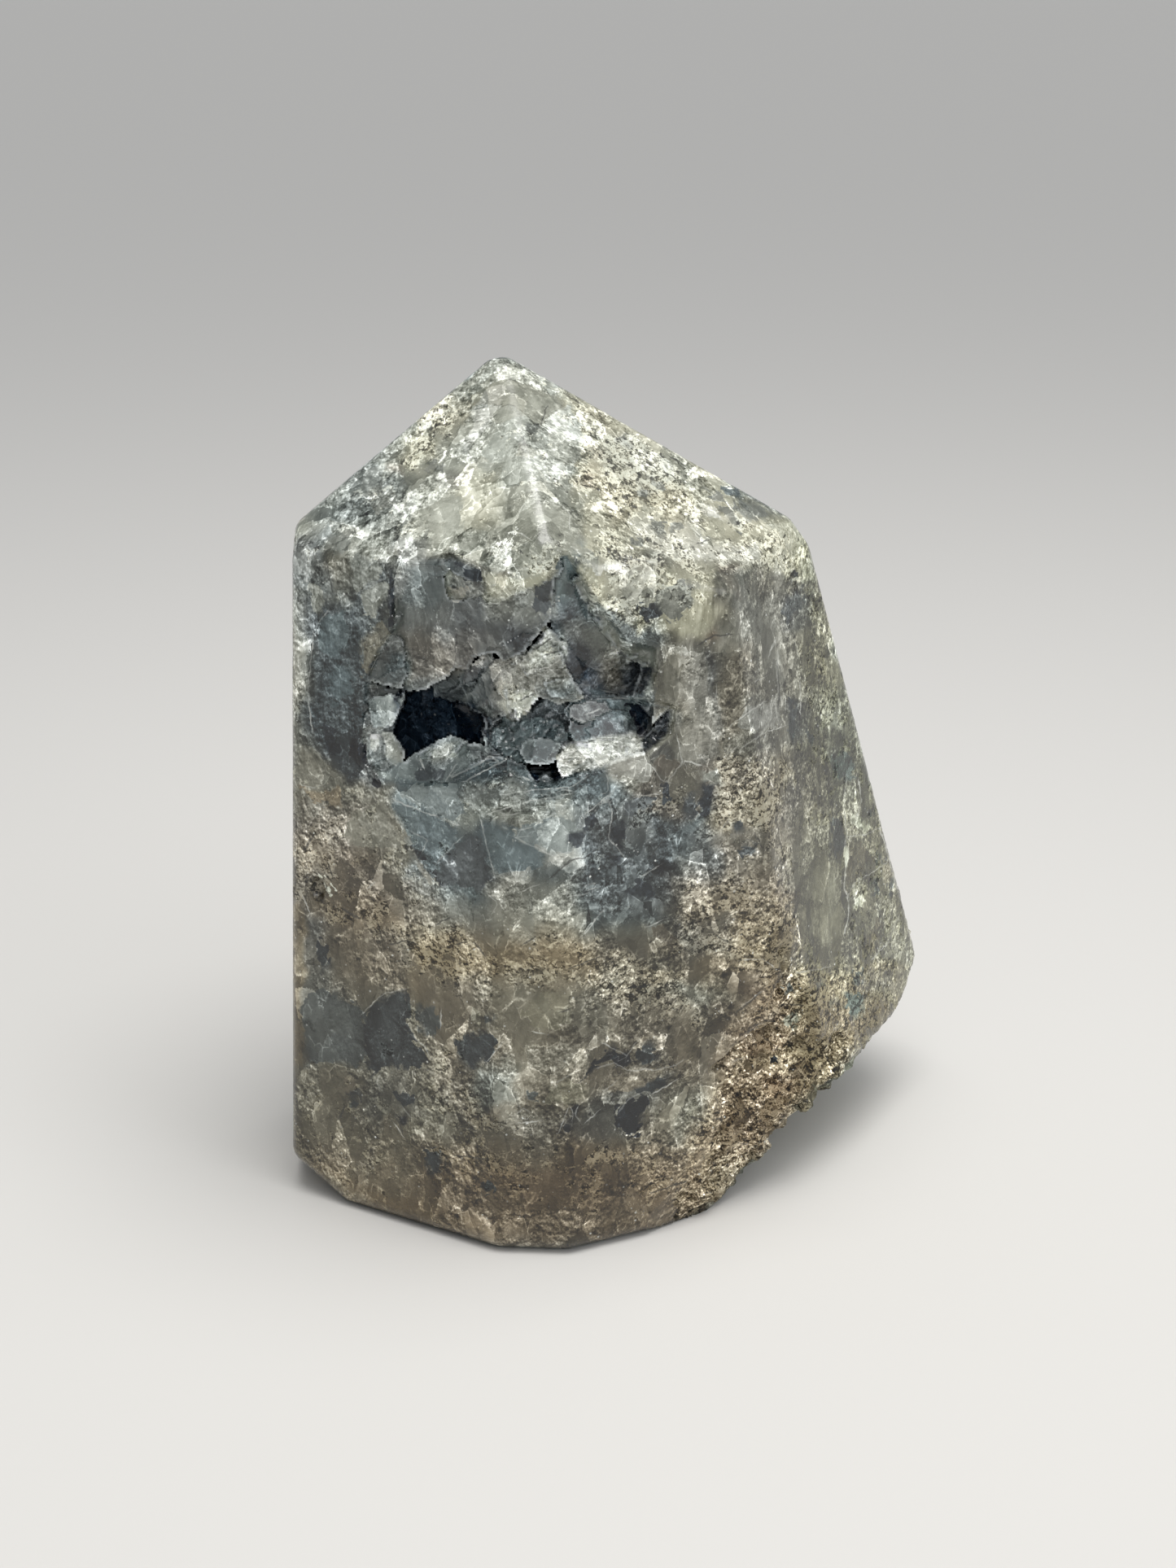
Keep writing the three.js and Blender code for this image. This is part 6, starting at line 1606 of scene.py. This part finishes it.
    crumb_tint = desk.mix(desk.math("ADD", sand["Shade"], around(desk, sand["Warmth"], 0.3)), (1.07, 0.99, 0.87, 1), (0.99, 1.0, 0.98, 1))
    crumb_stops = total(desk, [desk.math("MINIMUM", around(desk, sand["Shade"], 9.0), 1.7), desk.math("MULTIPLY", stops, 0.6), -0.3])
    crumb = desk.mix(1.0, brightened(desk, marks["Ground"], crumb_stops), crumb_tint, "MULTIPLY")
    ground = desk.mix(desk.math("MULTIPLY", sand["Mask"], 0.85), ground, crumb)

    # Painted glints: tiny white specks that stand in for light caught by cleavages in the crystal.
    glint_cell = desk.cells(place, 1 / (0.8 * MM))
    glint_parts = desk.put("ShaderNodeSeparateXYZ", {0: glint_cell.outputs["Color"]}).outputs
    glint_size = desk.math("ADD", 0.06, desk.math("MULTIPLY", glint_parts[1], 0.26))
    painted_glints = desk.math("MULTIPLY", desk.math("LESS_THAN", glint_cell.outputs["Distance"], glint_size), desk.math("GREATER_THAN", glint_parts[0], 1 - glint_share))
    painted_glints = desk.math("MULTIPLY", painted_glints, desk.math("ADD", 0.15, desk.step(web, 0.5, 0.6)))
    ground = desk.mix(desk.math("MULTIPLY", desk.math("MULTIPLY", painted_glints, busy), 0.75), ground, (0.72, 0.74, 0.7, 1))
    stroke = desk.math("MULTIPLY", marks["White"], desk.math("ADD", 0.25, desk.math("MULTIPLY", broken_up, 0.5)))
    ground = desk.mix(stroke, ground, brightened(desk, desk.mix(0.5, marks["Ground"], (0.5, 0.51, 0.47, 1)), 0.8))
    ground = desk.mix(desk.math("MULTIPLY", marks["Dark"], 0.7), ground, (0.02, 0.02, 0.018, 1))
    # Pale lines on proud edges: partly frost and partly a painted highlight.
    if crest:
        frost_and_edge_highlight = desk.math("MULTIPLY", read("crest"), desk.step(desk.noise(place, 520.0, 3.0).outputs["Fac"], 0.35, 0.6))
        ground = desk.mix(desk.math("MULTIPLY", frost_and_edge_highlight, 0.55), ground, (0.5, 0.54, 0.55, 1))
    material.node_tree.links.new(ground, shader.inputs["Base Color"])

    broken = read("broken")
    rough = total(desk, [desk.math("MULTIPLY", sand["Mask"], 0.28), around(desk, speckle, 0.3), desk.math("MULTIPLY", broken, 0.35), around(desk, middle["Tone"], 0.16), polish])
    material.node_tree.links.new(desk.math("MINIMUM", desk.math("MAXIMUM", rough, 0.08), 0.9), shader.inputs["Roughness"])
    coat = desk.math("MULTIPLY", desk.math("SUBTRACT", 1.0, broken), desk.math("SUBTRACT", 1.0, desk.math("MULTIPLY", sand["Mask"], 0.7)))
    material.node_tree.links.new(desk.math("MULTIPLY", coat, 0.35), shader.inputs["Coat Weight"])
    shader.inputs["Coat Roughness"].default_value = 0.1
    height = total(desk, [desk.math("MULTIPLY", sand["Height"], read("sand")), around(desk, desk.noise(place, 700.0, 3.0, 0.7).outputs["Fac"], 0.7)])
    height = desk.math("MULTIPLY", height, desk.math("ADD", 0.4, desk.math("MULTIPLY", broken, 2.4)))
    bump = desk.put("ShaderNodeBump", {"Height": height, "Distance": 0.35 * MM, "Strength": 0.6})
    material.node_tree.links.new(bump.outputs[0], shader.inputs["Normal"])
    return shader


mineral(stone_finish, 1.0, 0.7 * MM, 0.26, 0.1, False)
stone.data.materials.clear()
stone.data.materials.append(stone_finish)

# %% [markdown]
# The lining uses the same mineral with less sand, a glassier surface, and pale lines on its proud edges, partly
# their frost and partly a painted highlight.

# %% Material: pocket crystal
pocket_finish = bpy.data.materials.new("pocket crystal")
mineral(pocket_finish, 1.0, 0.7 * MM, 0.26, 0.14, True)
crust.data.materials.clear()
crust.data.materials.append(pocket_finish)
print("materials:", stone_finish.name, "|", pocket_finish.name)

# %% Hand over
for piece, node in ((stone, "stone"), (crust, "pocket_crystals")):
    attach(piece, "root")
    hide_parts(node)
